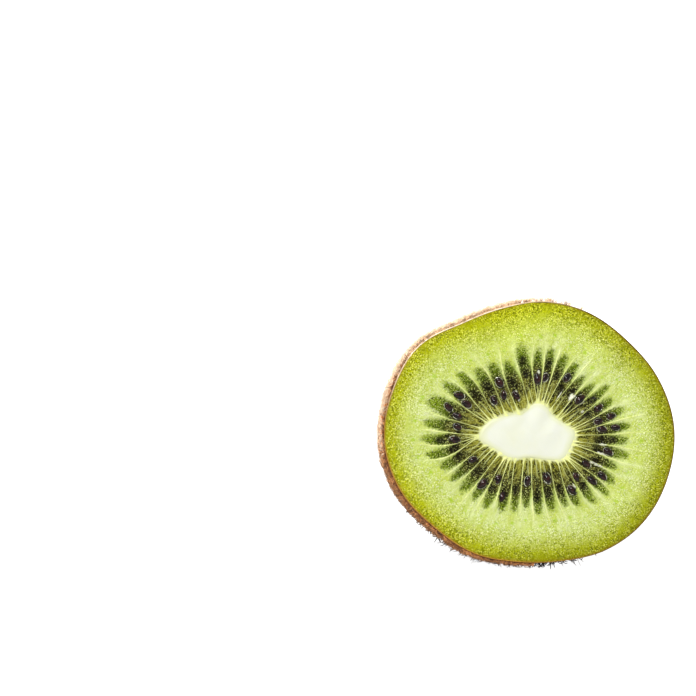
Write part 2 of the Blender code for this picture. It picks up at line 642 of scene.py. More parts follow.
class Paint(Graph):
    """The node graph of a new material around its Principled shader."""

    def __init__(self, name: str, plain: dict[str, Any]) -> None:
        """Starts a material.

        Args:
            name: Name of the material.
            plain: What the shader's inputs take.
        """
        self.material = bpy.data.materials.new(name)
        self.material.use_nodes = True
        super().__init__(self.material.node_tree)
        self.shader = self.tree.nodes["Principled BSDF"]
        self.feed(self.shader, plain)

    @cached_property
    def where(self) -> NodeSocket:
        """Places on the piece, in metres."""
        return self.node("ShaderNodeTexCoord").outputs["Object"]

    def flow(self, outward: float) -> NodeSocket:
        """Places for streaks that run outwards.

        Args:
            outward: Change of place outwards, as a share of the true one; less draws streaks longer.

        Returns:
            The places.
        """
        flow = self.node("ShaderNodeAttribute", attribute_name="flow").outputs["Vector"]
        factors = {0: flow, 1: (1.0, 1.0, outward)}
        return self.node("ShaderNodeVectorMath", factors, operation="MULTIPLY").outputs[0]

    def grain(self, density: float, share: float) -> Any:
        """The outlets of the fine grain, with its grains to the metre and the share that is bright."""
        inputs = {"Vector": self.where, "Density": density, "Share": share}
        return self.node("ShaderNodeGroup", inputs, node_tree=grain_group()).outputs

    def done(
        self, colour: NodeSocket, height: Any = None, strength: float = 0.0, depth: float = 0.0
    ) -> Material:
        """Gives the shader its colour and its bump.

        Args:
            colour: The base colour.
            height: Height of the bump, where there is one.
            strength: Strength of the bump.
            depth: Depth of the bump, in metres.

        Returns:
            The material.
        """
        self.feed(self.shader, {"Base Color": colour})
        if height is not None:
            bump = {"Strength": strength, "Distance": depth, "Height": height}
            self.feed(self.shader, {"Normal": self.node("ShaderNodeBump", bump).outputs[0]})
        return self.material


@dataclass(frozen=True)
class FleshFinish:
    """Moist green flesh: the outer flesh, the dark gel around the seeds, and the pale septa.

    Attributes:
        roughness: Roughness of the outer flesh.
        gel_roughness: Roughness of the gel.
        grain: Grains to the metre.
        gel_grain: Grains to the metre in the gel.
        speck_share: Share of the outer flesh's grains that are bright.
        bump: Strength of the surface's fine bump.
        bump_depth: Depth of that bump, in metres.
        ripe: What is left of the colour where the flesh is yellower.
        shade: What is left of the colour on the side of the rim darkened with painted shade.
    """

    roughness: float = 0.34
    gel_roughness: float = 0.2
    grain: float = 2900.0
    gel_grain: float = 4000.0
    speck_share: float = 0.85
    bump: float = 0.8
    bump_depth: float = 0.12 * MM
    ripe: tuple[float, ...] = (1.0, 1.0, 0.45, 1.0)
    shade: tuple[float, ...] = (0.68, 0.69, 0.66, 1.0)

    def outer(self, paint: Paint, reach: NodeSocket) -> NodeSocket:
        """Colour of the outer flesh, with its pale rays, its specks and its green dots.

        Args:
            paint: The material's graph.
            reach: The reach.

        Returns:
            The colour.
        """
        stops = (
            (0.0, Hue.CORE_EDGE), (0.03, Hue.BASE_PALE), (0.28, Hue.WEDGE), (0.44, Hue.WEDGE),
            (0.58, Hue.GREEN_PALE), (0.74, Hue.GREEN_PALE), (0.84, Hue.GREEN_MID),
            (0.91, Hue.GREEN_RIM), (0.965, Hue.GREEN_EDGE), (1.0, Hue.RIND_EDGE),
        )  # fmt: skip
        colour = paint.ramp(reach, stops)
        ray = paint.mask("ray")
        streaks = paint.noise(paint.flow(0.16), 900.0, 3.0)
        band = paint.product(paint.spread(reach, 0.3, 0.45), paint.spread(reach, 0.88, 0.6))
        pale = paint.math("MAXIMUM", paint.product(paint.spread(streaks, 0.5, 0.75), band), ray)
        colour = paint.tint(colour, Hue.RAY, pale, 0.9)
        colour = paint.tint(colour, Hue.GREEN_MID, paint.spread(streaks, 0.5, 0.3), band, 0.55)
        rim = paint.product(
            paint.spread(reach, 0.7, 0.9), paint.spread(paint.noise(paint.where, 300.0), 0.5, 0.68)
        )
        colour = paint.tint(colour, Hue.GREEN_EDGE, rim, 0.6)

        # The bright specks, part pale grain and part painted glint of the wet cut, turn from pale to
        # yellow, and the flecks deeper, towards the skin.
        coarse = paint.grain(self.grain, self.speck_share)
        fine = paint.grain(self.grain * 1.7, 0.7)
        outward = paint.spread(reach, 0.68, 0.93)
        shown = paint.product(
            paint.spread(reach, 0.3, 0.85),
            paint.spread(reach, 1.03, 0.97),
            paint.math("SUBTRACT", 1.0, ray),
            paint.spread(paint.noise(paint.where, 420.0), 0.22, 0.5),
        )
        for outlet, near, far, share in (
            ("Dark", Hue.FLECK_GREEN, Hue.FLECK_DEEP, 0.85),
            ("Bright", Hue.SPECK_PALE_GLINT, Hue.SPECK_YELLOW_GLINT, 0.95),
        ):
            either = paint.math("MAXIMUM", coarse[outlet], fine[outlet])
            colour = paint.tint(colour, paint.mix(outward, near, far), either, shown, share)
        dots = paint.spread(paint.mask("dots"), 0.15, 0.85)
        colour = paint.tint(colour, Hue.DOT_GREEN, dots, 0.75)
        colour = paint.mix(paint.mask("ripe"), colour, self.ripe, "MULTIPLY")
        # Painted shade: the rim is darker on the side away from the light.
        return paint.mix(paint.mask("shade"), colour, self.shade, "MULTIPLY")

    def gel(self, paint: Paint, reach: NodeSocket) -> NodeSocket:
        """Colour of the gel, olive and streaky at the core, dark at the seeds, green at the tips.

        Args:
            paint: The material's graph.
            reach: The reach.

        Returns:
            The colour.
        """
        stops = (
            (0.0, Hue.GEL_BASE), (0.07, Hue.GEL_BASE), (0.15, Hue.GEL_OLIVE), (0.22, Hue.GEL_BROWN),
            (0.29, Hue.GEL_DARK), (0.35, Hue.GEL_DARK), (0.43, Hue.GEL_GREEN), (0.6, Hue.GEL_TIP),
        )  # fmt: skip
        colour = paint.ramp(reach, stops)
        near = paint.spread(reach, 0.42, 0.16)
        for scale, outward in ((2900.0, 0.45), (1700.0, 0.3)):
            fibres = paint.noise(paint.flow(outward), scale)
            colour = paint.tint(colour, Hue.STREAK_PALE, paint.spread(fibres, 0.5, 0.62), near, 0.5)
            colour = paint.tint(colour, Hue.STREAK_DARK, paint.spread(fibres, 0.5, 0.38), near, 0.85)
        halo = paint.mask("halo")
        colour = paint.tint(colour, Hue.HALO, halo)
        # Bright specks in the gel are part pale grain and part painted glint, even over the dark seeds.
        specks = paint.grain(self.gel_grain, 0.8)
        colour = paint.tint(colour, Hue.GEL_SHADE, specks["Dark"], paint.spread(reach, 0.0, 0.4), 0.9)
        clear = paint.spread(halo, 1.25, 0.2)
        lit = paint.product(specks["Bright"], paint.spread(reach, -0.25, 0.3), clear)
        return paint.tint(colour, Hue.GEL_SPECK_GLINT, lit, 0.85)

    def material(self) -> Material:
        """Builds the material.

        Returns:
            The material.
        """
        plain = {"Specular IOR Level": 0.06, "Subsurface Weight": 0.1}
        plain |= {"Subsurface Radius": (0.8, 1.0, 0.3), "Subsurface Scale": 0.15 * MM}
        paint = Paint("kiwi_flesh_moist", plain)
        reach, lobe = paint.mask("reach"), paint.mask("lobe")
        edge = (paint.spread(lobe, 0.3, 0.55), paint.spread(lobe, 0.98, 0.7), paint.spread(reach, 0.5, 0.3))
        gel = paint.tint(self.gel(paint, reach), Hue.GEL_SHADE, *edge, 0.55)
        colour = paint.mix(lobe, self.outer(paint, reach), gel)
        colour = paint.tint(colour, Hue.SEPTUM, paint.mask("septum"))
        # Torn film, painted near white as a highlight of the wet gel.
        colour = paint.tint(colour, Hue.FILM_GLINT, paint.mask("film_glint"))
        change = paint.product(lobe, self.gel_roughness - self.roughness)
        paint.feed(paint.shader, {"Roughness": paint.math("ADD", change, self.roughness)})
        height = paint.grain(self.grain, self.speck_share)["Height"]
        return paint.done(colour, height, self.bump, self.bump_depth)


@dataclass(frozen=True)
class CoreFinish:
    """Smooth, moist, creamy core.

    Attributes:
        roughness: Roughness of the surface.
        grain: Grains to the metre.
    """

    roughness: float = 0.42
    grain: float = 2200.0

    def material(self) -> Material:
        """Builds the material.

        Returns:
            The material.
        """
        plain = {"Roughness": self.roughness, "Specular IOR Level": 0.2, "Subsurface Weight": 0.2}
        plain |= {"Subsurface Radius": (1.0, 0.9, 0.6), "Subsurface Scale": 1.0 * MM}
        paint = Paint("kiwi_core_cream", plain)
        stops = ((0.0, Hue.CORE_WHITE), (0.8, Hue.CORE_WHITE), (1.0, Hue.CORE_EDGE))
        clouds = paint.spread(paint.noise(paint.where, 260.0), 0.45, 0.75)
        colour = paint.tint(paint.ramp(paint.mask("reach"), stops), Hue.CORE_EDGE, clouds, 0.25)
        return paint.done(colour, paint.grain(self.grain, 0.5)["Height"], 0.12, 0.05 * MM)


@dataclass(frozen=True)
class SkinFinish:
    """Dull brown skin, mottled and dotted.

    Attributes:
        roughness: Roughness of the surface.
        grain: Grains to the metre.
    """

    roughness: float = 0.7
    grain: float = 1500.0

    def material(self) -> Material:
        """Builds the material.

        Returns:
            The material.
        """
        paint = Paint("kiwi_skin_brown", {"Roughness": self.roughness, "Specular IOR Level": 0.3})
        stops = ((0.32, Hue.SKIN_DARK), (0.5, Hue.SKIN), (0.7, Hue.SKIN_LIGHT))
        colour = paint.ramp(paint.noise(paint.where, 110.0, 4.0), stops)
        grain = paint.grain(self.grain, 0.7)
        colour = paint.tint(colour, Hue.HAIR_DARK, grain["Dark"], 0.75)
        colour = paint.tint(colour, Hue.SKIN_LIGHT, grain["Bright"], 0.5)
        colour = paint.tint(colour, Hue.HAIR_DARK, paint.mask("far"), 0.55)
        # Painted highlight: the upper-left rim is creamy where the light falls on it.
        colour = paint.tint(colour, Hue.CREST_HIGHLIGHT, paint.mask("crest_highlight"), 0.9)

        # The cut's brown line is painted with the light: golden at the left, darker as painted shade at the
        # right, and creamy as a painted highlight at the top.
        side, _, height = paint.node("ShaderNodeSeparateXYZ", {0: paint.where}).outputs
        right = paint.spread(side, -6.0 * MM, 12.0 * MM)
        top = paint.spread(height, 28.0 * MM, 40.0 * MM)
        edge = paint.mix(right, Hue.SKIN_EDGE, Hue.SKIN_EDGE_PAINTED_SHADE)
        edge = paint.tint(edge, Hue.HAIR_CREAM_HIGHLIGHT, top, paint.math("SUBTRACT", 1.0, right))
        colour = paint.tint(colour, edge, paint.mask("lip"))
        colour = paint.tint(colour, Hue.SCAR, paint.mask("scar"))
        return paint.done(colour, grain["Height"], 0.7, 0.15 * MM)


@dataclass(frozen=True)
class HairFinish:
    """Short stiff hairs, darker at the root.

    Attributes:
        name: Name of the material.
        root: Colour at the skin.
        tip: Colour at the tip.
    """

    name: str
    root: Hue
    tip: Hue

    def material(self) -> Material:
        """The material, built the first time that it is asked for.

        Returns:
            The material.
        """
        ready = bpy.data.materials.get(self.name)
        if ready:
            return ready
        paint = Paint(self.name, {"Roughness": 0.5, "Specular IOR Level": 0.4})
        colour = paint.mix(paint.spread(paint.mask("along"), 0.0, 0.6), self.root, self.tip)
        return paint.done(paint.tint(colour, self.root, paint.spread(paint.mask("tint"), 0.35, 0.85), 0.9))


@dataclass(frozen=True)
class ClearFinish:
    """A shiny surface in clouds of two colours, with a clear coat.

    Attributes:
        name: Name of the material.
        hues: The two colours.
        clouds: Clouds to the metre.
        edge: Where the second colour begins and where it is full.
        roughness: Roughness of the surface.
        gloss: How strongly the surface shines.
        coat: Weight of the clear coat.
        bump: Strength of the bump.
    """

    name: str
    hues: tuple[Hue, Hue]
    clouds: float
    edge: tuple[float, float]
    roughness: float
    gloss: float
    coat: float
    bump: float = 0.0

    def material(self) -> Material:
        """Builds the material.

        Returns:
            The material.
        """
        plain = {"Roughness": self.roughness, "Specular IOR Level": self.gloss}
        paint = Paint(self.name, plain | {"Coat Weight": self.coat, "Coat Roughness": 0.05})
        clouds = paint.noise(paint.where, self.clouds)
        colour = paint.mix(paint.spread(clouds, *self.edge), *self.hues)
        return paint.done(colour, clouds if self.bump else None, self.bump, 0.1 * MM)


SEED_FINISH = ClearFinish(
    "kiwi_seed_black", (Hue.SEED, Hue.SEED_BROWN), 1500.0, (0.4, 0.7), 0.18, 0.06, 0.55, 0.7
)
# The pale patches on the wet rims round the seeds are painted glints.
WET_GLINT_FINISH = ClearFinish(
    "kiwi_gel_wet_glint", (Hue.GEL_BROWN, Hue.WET_RIM_GLINT), 1300.0, (0.45, 0.62), 0.12, 0.5, 1.0
)


@dataclass(frozen=True)
class Locule:
    """One locule of the seed ring: the septum at its start, its lobe of gel, and its seeds.

    Places around the cut are in steps, of which STEPS_ROUND go all the way round.

    Attributes:
        septum: Where the septum lies at each of SEPTUM_REACHES.
        run: How far towards the skin the septum still shows, as a reach.
        tip: Place around and reach of the lobe's tip.
        bare: Place around and reach of the seeds that the cut has bared.
        sunk: Place around and reach of the seeds that lie deep, just under the gel.
    """

    septum: tuple[float, float, float]
    run: float
    tip: tuple[float, float]
    bare: tuple[tuple[float, float], ...] = ()
    sunk: tuple[tuple[float, float], ...] = ()


STEPS_ROUND = 39.0
SEPTUM_REACHES = (0.1, 0.25, 0.45)
LOCULES = (
    Locule((-0.4, -0.37, -0.3), 0.78, (0.25, 0.575), ((0.2, 0.42), (0.18, 0.28))),
    Locule((0.27, 0.5, 0.71), 0.8, (1.45, 0.575), ((1.16, 0.42), (1.0, 0.28))),
    Locule((1.05, 1.45, 1.78), 0.55, (2.34, 0.53), ((2.2, 0.36),), ((2.05, 0.23),)),
    Locule((2.03, 2.42, 2.8), 0.6, (3.3, 0.59), (), ((3.2, 0.37),)),
    Locule((3.35, 3.42, 3.6), 0.6, (3.98, 0.48), ((3.74, 0.29),), ((3.85, 0.16),)),
    Locule((4.05, 4.32, 4.46), 0.6, (4.86, 0.48), (), ((4.75, 0.29),)),
    Locule((5.38, 5.33, 5.27), 0.72, (5.8, 0.54), ((5.9, 0.35),), ((5.87, 0.22),)),
    Locule((6.3, 6.32, 6.24), 0.65, (6.77, 0.55), (), ((6.77, 0.31),)),
    Locule((7.07, 7.17, 7.25), 0.68, (7.86, 0.57), ((7.74, 0.26),), ((7.8, 0.4),)),
    Locule((7.85, 8.02, 8.2), 0.62, (8.73, 0.55), ((8.5, 0.25),)),
    Locule((8.36, 8.92, 9.2), 0.74, (9.95, 0.63), (), ((9.95, 0.46), (9.68, 0.33))),
    Locule((9.68, 10.05, 10.4), 0.6, (11.1, 0.51), ((11.05, 0.17),), ((11.1, 0.3),)),
    Locule((11.5, 11.62, 11.58), 0.74, (12.15, 0.55), ((12.2, 0.33), (12.33, 0.2))),
    Locule((13.15, 12.85, 12.77), 0.66, (13.3, 0.55), ((13.6, 0.18),), ((13.3, 0.33),)),
    Locule((14.64, 14.17, 14.0), 0.6, (14.36, 0.6), (), ((14.68, 0.31),)),
    Locule((15.68, 15.3, 15.08), 0.6, (15.6, 0.61), ((15.68, 0.4), (15.9, 0.29))),
    Locule((16.5, 16.33, 16.19), 0.64, (17.0, 0.66), ((16.9, 0.42), (17.3, 0.3))),
    Locule((17.86, 17.82, 17.78), 0.66, (18.4, 0.61), ((18.34, 0.25),)),
    Locule((19.07, 19.0, 18.92), 0.7, (19.45, 0.62), ((19.62, 0.27),), ((19.6, 0.42),)),
    Locule((19.6, 19.95, 20.02), 0.76, (20.5, 0.63), (), ((20.4, 0.31),)),
    Locule((19.95, 20.65, 21.0), 0.66, (21.6, 0.55), (), ((21.18, 0.32),)),
    Locule((21.36, 21.78, 22.12), 0.66, (22.65, 0.55), ((22.2, 0.23),)),
    Locule((22.55, 22.88, 23.05), 0.6, (23.65, 0.57), (), ((23.4, 0.28),)),
    Locule((23.75, 23.97, 24.13), 0.8, (24.65, 0.56), ((24.45, 0.36),)),
    Locule((24.7, 24.88, 25.05), 0.66, (25.6, 0.57), ((25.42, 0.24),), ((25.35, 0.35),)),
    Locule((25.5, 25.8, 26.05), 0.6, (26.65, 0.55), ((26.4, 0.39),)),
    Locule((26.5, 26.87, 27.12), 0.56, (27.58, 0.54), (), ((27.35, 0.31),)),
    Locule((27.77, 27.85, 27.98), 0.6, (28.4, 0.49), ((28.42, 0.23),)),
    Locule((28.87, 28.86, 28.88), 0.72, (29.3, 0.57), (), ((29.27, 0.38),)),
    Locule((30.07, 29.9, 29.84), 0.74, (30.27, 0.53), ((30.55, 0.19),), ((30.25, 0.34),)),
    Locule((31.4, 31.05, 30.9), 0.66, (31.3, 0.49), (), ((31.45, 0.3),)),
    Locule((32.55, 32.03, 31.8), 0.6, (32.15, 0.53), ((32.4, 0.34),)),
    Locule((33.66, 33.15, 32.87), 0.6, (33.25, 0.57), ((33.58, 0.23),), ((33.45, 0.34),)),
    Locule((34.36, 34.08, 33.87), 0.64, (34.3, 0.58), ((34.35, 0.35),)),
    Locule((34.85, 34.85, 34.72), 0.6, (35.2, 0.55), ((35.15, 0.4), (35.38, 0.2))),
    Locule((35.87, 35.85, 35.78), 0.62, (36.2, 0.5), (), ((36.15, 0.27),)),
    Locule((36.95, 36.82, 36.7), 0.68, (37.2, 0.58), ((37.2, 0.36),), ((37.15, 0.25),)),
    Locule((37.62, 37.7, 37.72), 0.82, (38.25, 0.55), (), ((38.2, 0.38), (38.1, 0.25))),
)

# Torn bits of film, raised a little and painted near white as highlights of the wet gel: place around and
# reach, half length and half breadth in millimetres, and how plainly each shows.
TORN_FILM_GLINTS = (
    (4.42, 0.25, 0.85, 0.42, 1.0),
    (35.8, 0.3, 1.5, 0.2, 0.9),
    (36.88, 0.3, 0.9, 0.22, 0.8),
    (37.72, 0.29, 0.8, 0.2, 0.8),
    (8.45, 0.31, 0.5, 0.22, 0.8),
    (11.05, 0.2, 0.3, 0.45, 0.9),
    (10.85, 0.13, 0.4, 0.16, 0.8),
    (32.8, 0.305, 0.6, 0.14, 0.7),
    (5.55, 0.17, 1.1, 0.12, 0.8),
    (2.6, 0.22, 0.4, 0.2, 0.7),
)


@dataclass(frozen=True)
class SeedRing:
    """The ring of locules around the core: where septa, lobes and seeds lie.

    A phase counts locules from septum to septum, so it is a whole number on every septum.

    Attributes:
        form: The fruit's form.
        locules: The locules in order.
        columns: Columns of points across one locule.
    """

    form: FruitForm
    locules: tuple[Locule, ...] = LOCULES
    columns: int = 20

    def of(self, name: str) -> Array:
        """One figure, or one row of figures, of every locule, by its name."""
        return np.array([getattr(locule, name) for locule in self.locules])

    def septum(self, number: Array, reach: Array) -> Array:
        """Where a septum lies, in steps, on a parabola through its three places.

        Args:
            number: Number of the septum; past the last it starts again a whole way round.
            reach: Where along it.

        Returns:
            The places around, in steps.
        """
        turns, which = np.divmod(number, len(self.locules))
        places = self.of("septum")
        along = np.clip(reach, 0.02, 0.6)
        line = turns * STEPS_ROUND
        for column, here in enumerate(SEPTUM_REACHES):
            share = places[which, column]
            for other in SEPTUM_REACHES:
                if other != here:
                    share = share * (along - other) / (here - other)
            line = line + share
        return line

    def around(self, phase: Array, reach: Array) -> Array:
        """Finds places around the cut.

        Args:
            phase: Phase of each place.
            reach: Reach of each place.

        Returns:
            Shares of the way round.
        """
        number = np.floor(phase).astype(int)
        left, right = self.septum(number, reach), self.septum(number + 1, reach)
        return (left + (right - left) * (phase - number)) / STEPS_ROUND

    def width(self, number: Array, reach: Array) -> Array:
        """Width of a locule from septum to septum, in metres."""
        steps = self.septum(number + 1, reach) - self.septum(number, reach)
        return steps * self.form.girth(reach) / STEPS_ROUND

    def phases(self) -> Array:
        """The phase of every column, closer together at the septa."""
        step = np.arange(len(self.locules) * self.columns + 1) / self.columns
        return step - 0.5 * np.sin(step * WHOLE_TURN) / WHOLE_TURN

    def spots(self, pairs: Any) -> tuple[Array, Array]:
        """Finds spots on the cut.

        Args:
            pairs: Place around, in steps, and reach of each.

        Returns:
            The spots and the directions outwards from the core, in the fruit's own frame.
        """
        around, reach = np.transpose(pairs)
        middle = self.form.face(around / STEPS_ROUND, reach)
        return middle, unit(self.form.face(around / STEPS_ROUND, reach + 0.05) - middle)


@dataclass(frozen=True)
class Cut:
    """The points of the cut, as rows by columns, with no relief.

    Attributes:
        ring: The seed ring.
        phase: Phase of every point.
        reach: Reach of every point.
    """

    ring: SeedRing
    phase: Array
    reach: Array

    @cached_property
    def around(self) -> Array:
        """Share of the way round of every point."""
        return self.ring.around(self.phase, self.reach)

    @cached_property
    def places(self) -> Array:
        """Every point in the fruit's own frame."""
        return self.ring.form.face(self.around, self.reach)

    @cached_property
    def number(self) -> Array:
        """Number of the locule that every point lies in, counted on past a whole way round."""
        return np.floor(self.phase).astype(int)

    @cached_property
    def locule(self) -> Array:
        """The same number, within the whole way round."""
        return self.number % len(self.ring.locules)

    @cached_property
    def width(self) -> Array:
        """Width of every point's locule, in metres."""
        return self.ring.width(self.number, self.reach)

    @cached_property
    def septum(self) -> Array:
        """Number of the septum nearest to every point."""
        return np.rint(self.phase).astype(int)

    @cached_property
    def off_septum(self) -> Array:
        """How far every point lies from that septum, in metres."""
        return np.abs(self.phase - self.septum) * self.width

    def off_oval(self, middle: Array, ahead: Array, long_way: float, broad_way: float) -> Array:
        """How far off an oval's middle every point lies, squared; it is 1 on the oval's line.

        Args:
            middle: The oval's middle.
            ahead: Direction of its long way.
            long_way: Half its length, in metres.
            broad_way: Half its breadth, in metres.

        Returns:
            The squared distances.
        """
        offset = self.places - middle
        along = offset @ ahead
        across = offset[..., 0] ** 2 + offset[..., 2] ** 2 - along**2
        return (along / long_way) ** 2 + across / broad_way**2


@dataclass(frozen=True)
class Seeds:
    """Shiny seeds that lie in the gel, most of them along the locules.

    Attributes:
        ring: The seed ring that they sit in.
        length: Length of a seed, in metres.
        breadth: Its breadth as a share of its length.
        thickness: Its thickness as a share of its length.
        segments: Segments around a seed.
        rings: Rings along a seed.
        sizes: Smallest and largest seed, as shares of the length.
        turn_spread: How far a seed usually turns off the line outwards, in radians.
        tilt_spread: How far a seed usually tilts out of the cut, in radians.
        sinking: How far the deepest seed has sunk, as a share of its thickness.
        rim_steps: Steps around a seed's wet rim.
        rim_sides: Sides of the rim.
        rim_lengths: Shortest and longest rim, as shares of the seed.
        rim_breadths: Narrowest and broadest rim, as shares of the seed.
        rim_radii: Thinnest and thickest radius of a rim, in millimetres.
        rim_depth: How far below the gel a rim's middle lies, as a share of its radius.
        draw: Seed of the random draws.
    """

    ring: SeedRing
    length: float = 1.98 * MM
    breadth: float = 0.62
    thickness: float = 0.46
    segments: int = 20
    rings: int = 14
    sizes: tuple[float, float] = (0.82, 1.08)
    turn_spread: float = 0.25
    tilt_spread: float = 0.2
    sinking: float = 0.45
    rim_steps: int = 30
    rim_sides: int = 6
    rim_lengths: tuple[float, float] = (0.98, 1.1)
    rim_breadths: tuple[float, float] = (1.02, 1.2)
    rim_radii: tuple[float, float] = (0.045, 0.12)
    rim_depth: float = -0.4
    draw: int = 5

    def laid(self, sort: str) -> dict[str, Array]:
        """Draws each seed's size and turn.

        Args:
            sort: bare or sunk.

        Returns:
            The middle, direction, size, tilt and sinking of every seed.
        """
        rng = np.random.default_rng(self.draw)
        pairs = [pair for locule in self.ring.locules for pair in getattr(locule, sort)]
        middle, direction = self.ring.spots(pairs)
        count = len(middle)
        turn = rng.normal(0.0, self.turn_spread, count)
        return {
            "middle": middle,
            "direction": turned(direction, np.cross(OUT_OF_CUT, direction), turn),
            "size": self.length * rng.uniform(*self.sizes, count),
            "tilt": rng.normal(0.0, self.tilt_spread, count),
            "sunk": rng.uniform(0.0, self.sinking, count),
        }

    def model(self) -> tuple[Array, Array]:
        """Models one seed, a drop that is a little flat and pointed at one end.

        Returns:
            Its points, with the long way along X, and its faces.
        """
        bpy.ops.object.select_all(action="DESELECT")
        bpy.ops.mesh.primitive_uv_sphere_add(segments=self.segments, ring_count=self.rings, radius=0.5)
        seed = bpy.context.object
        bpy.ops.object.mode_set(mode="EDIT")
        bpy.ops.mesh.select_all(action="SELECT")
        bpy.ops.transform.resize(value=(self.breadth, self.thickness, 1.0))
        bpy.ops.mesh.quads_convert_to_tris()
        bpy.ops.object.mode_set(mode="OBJECT")
        points = np.empty(len(seed.data.vertices) * 3)
        seed.data.vertices.foreach_get("co", points)
        points = points.reshape(-1, 3)[:, [2, 0, 1]]
        points[:, 1:] *= 1.0 - 0.5 * np.maximum(points[:, :1] + 0.1, 0.0)
        faces = np.empty(len(seed.data.polygons) * 3, dtype=np.int32)
        seed.data.polygons.foreach_get("vertices", faces)
        bpy.data.objects.remove(seed)
        return points, faces.reshape(-1, 3)

    def rims(self, stand: Stand, gel_depth: float) -> Object:
        """Sets a ring of wet gel round every bared seed, thicker on one side.

        Args:
            stand: Where the fruit stands.
            gel_depth: How far the gel lies below the cut, in metres.

        Returns:
            The rings, as one piece.
        """
        seeds = self.laid("bare")
        rng = np.random.default_rng(self.draw + 1)
        count, around, sides = len(seeds["middle"]), self.rim_steps, self.rim_sides
        turn = np.arange(around) * WHOLE_TURN / around
        half = 0.5 * seeds["size"][:, None, None]
        ahead = seeds["direction"][:, None] * half * rng.uniform(*self.rim_lengths, count)[:, None, None]
        aside = np.cross(OUT_OF_CUT, seeds["direction"])[:, None] * half * self.breadth
        path = turned(ahead, aside * rng.uniform(*self.rim_breadths, count)[:, None, None], turn)
        outward = unit(path)
        path = path + seeds["middle"][:, None]
        lean = rng.uniform(0.0, WHOLE_TURN, count)[:, None]
        wet = rng.uniform(0.35, 1.0, count)[:, None] ** 1.5
        thin, full = self.rim_radii
        thick = (thin + (full - thin) * wet * (0.5 + 0.5 * np.cos(turn - lean))) * MM
        thick = thick * (1.0 + rough(path, (0.5, 28, 0.25)))
        path[..., 1] += gel_depth + self.rim_depth * thick
        tube = turned(outward[:, :, None], OUT_OF_CUT, np.arange(sides) * WHOLE_TURN / sides)
        points = path[:, :, None] + thick[..., None, None] * tube
        step, side = np.divmod(np.arange(around * sides), sides)
        ahead, beside = (step + 1) % around * sides, (side + 1) % sides
        faces = np.stack([ahead + side, ahead + beside, step * sides + beside, step * sides + side], axis=1)
        return Modeller.joined("seed_rims", stand.place(points.reshape(count, around * sides, 3)), faces)

    def build(self, stand: Stand, gel_depth: float) -> Object:
        """Sets a copy of the seed in every place that the cut has bared.

        Args:
            stand: Where the fruit stands.
            gel_depth: How far the gel lies below the cut, in metres.

        Returns:
            The seeds, as one piece.
        """
        shape, faces = self.model()
        seeds = self.laid("bare")
        along = turned(seeds["direction"], -OUT_OF_CUT, seeds["tilt"])
        lift = turned(OUT_OF_CUT, seeds["direction"], seeds["tilt"])
        copies = np.einsum("pk,kcx->cpx", shape, np.stack([along, np.cross(lift, along), lift]))
        half = 0.5 * self.thickness * seeds["size"]
        middle = seeds["middle"].copy()
        middle[:, 1] += gel_depth - half * (0.55 - 1.1 * seeds["sunk"])
        placed = stand.place(copies * seeds["size"][:, None, None] + middle[:, None])
        return Modeller.joined("seeds", placed, faces)


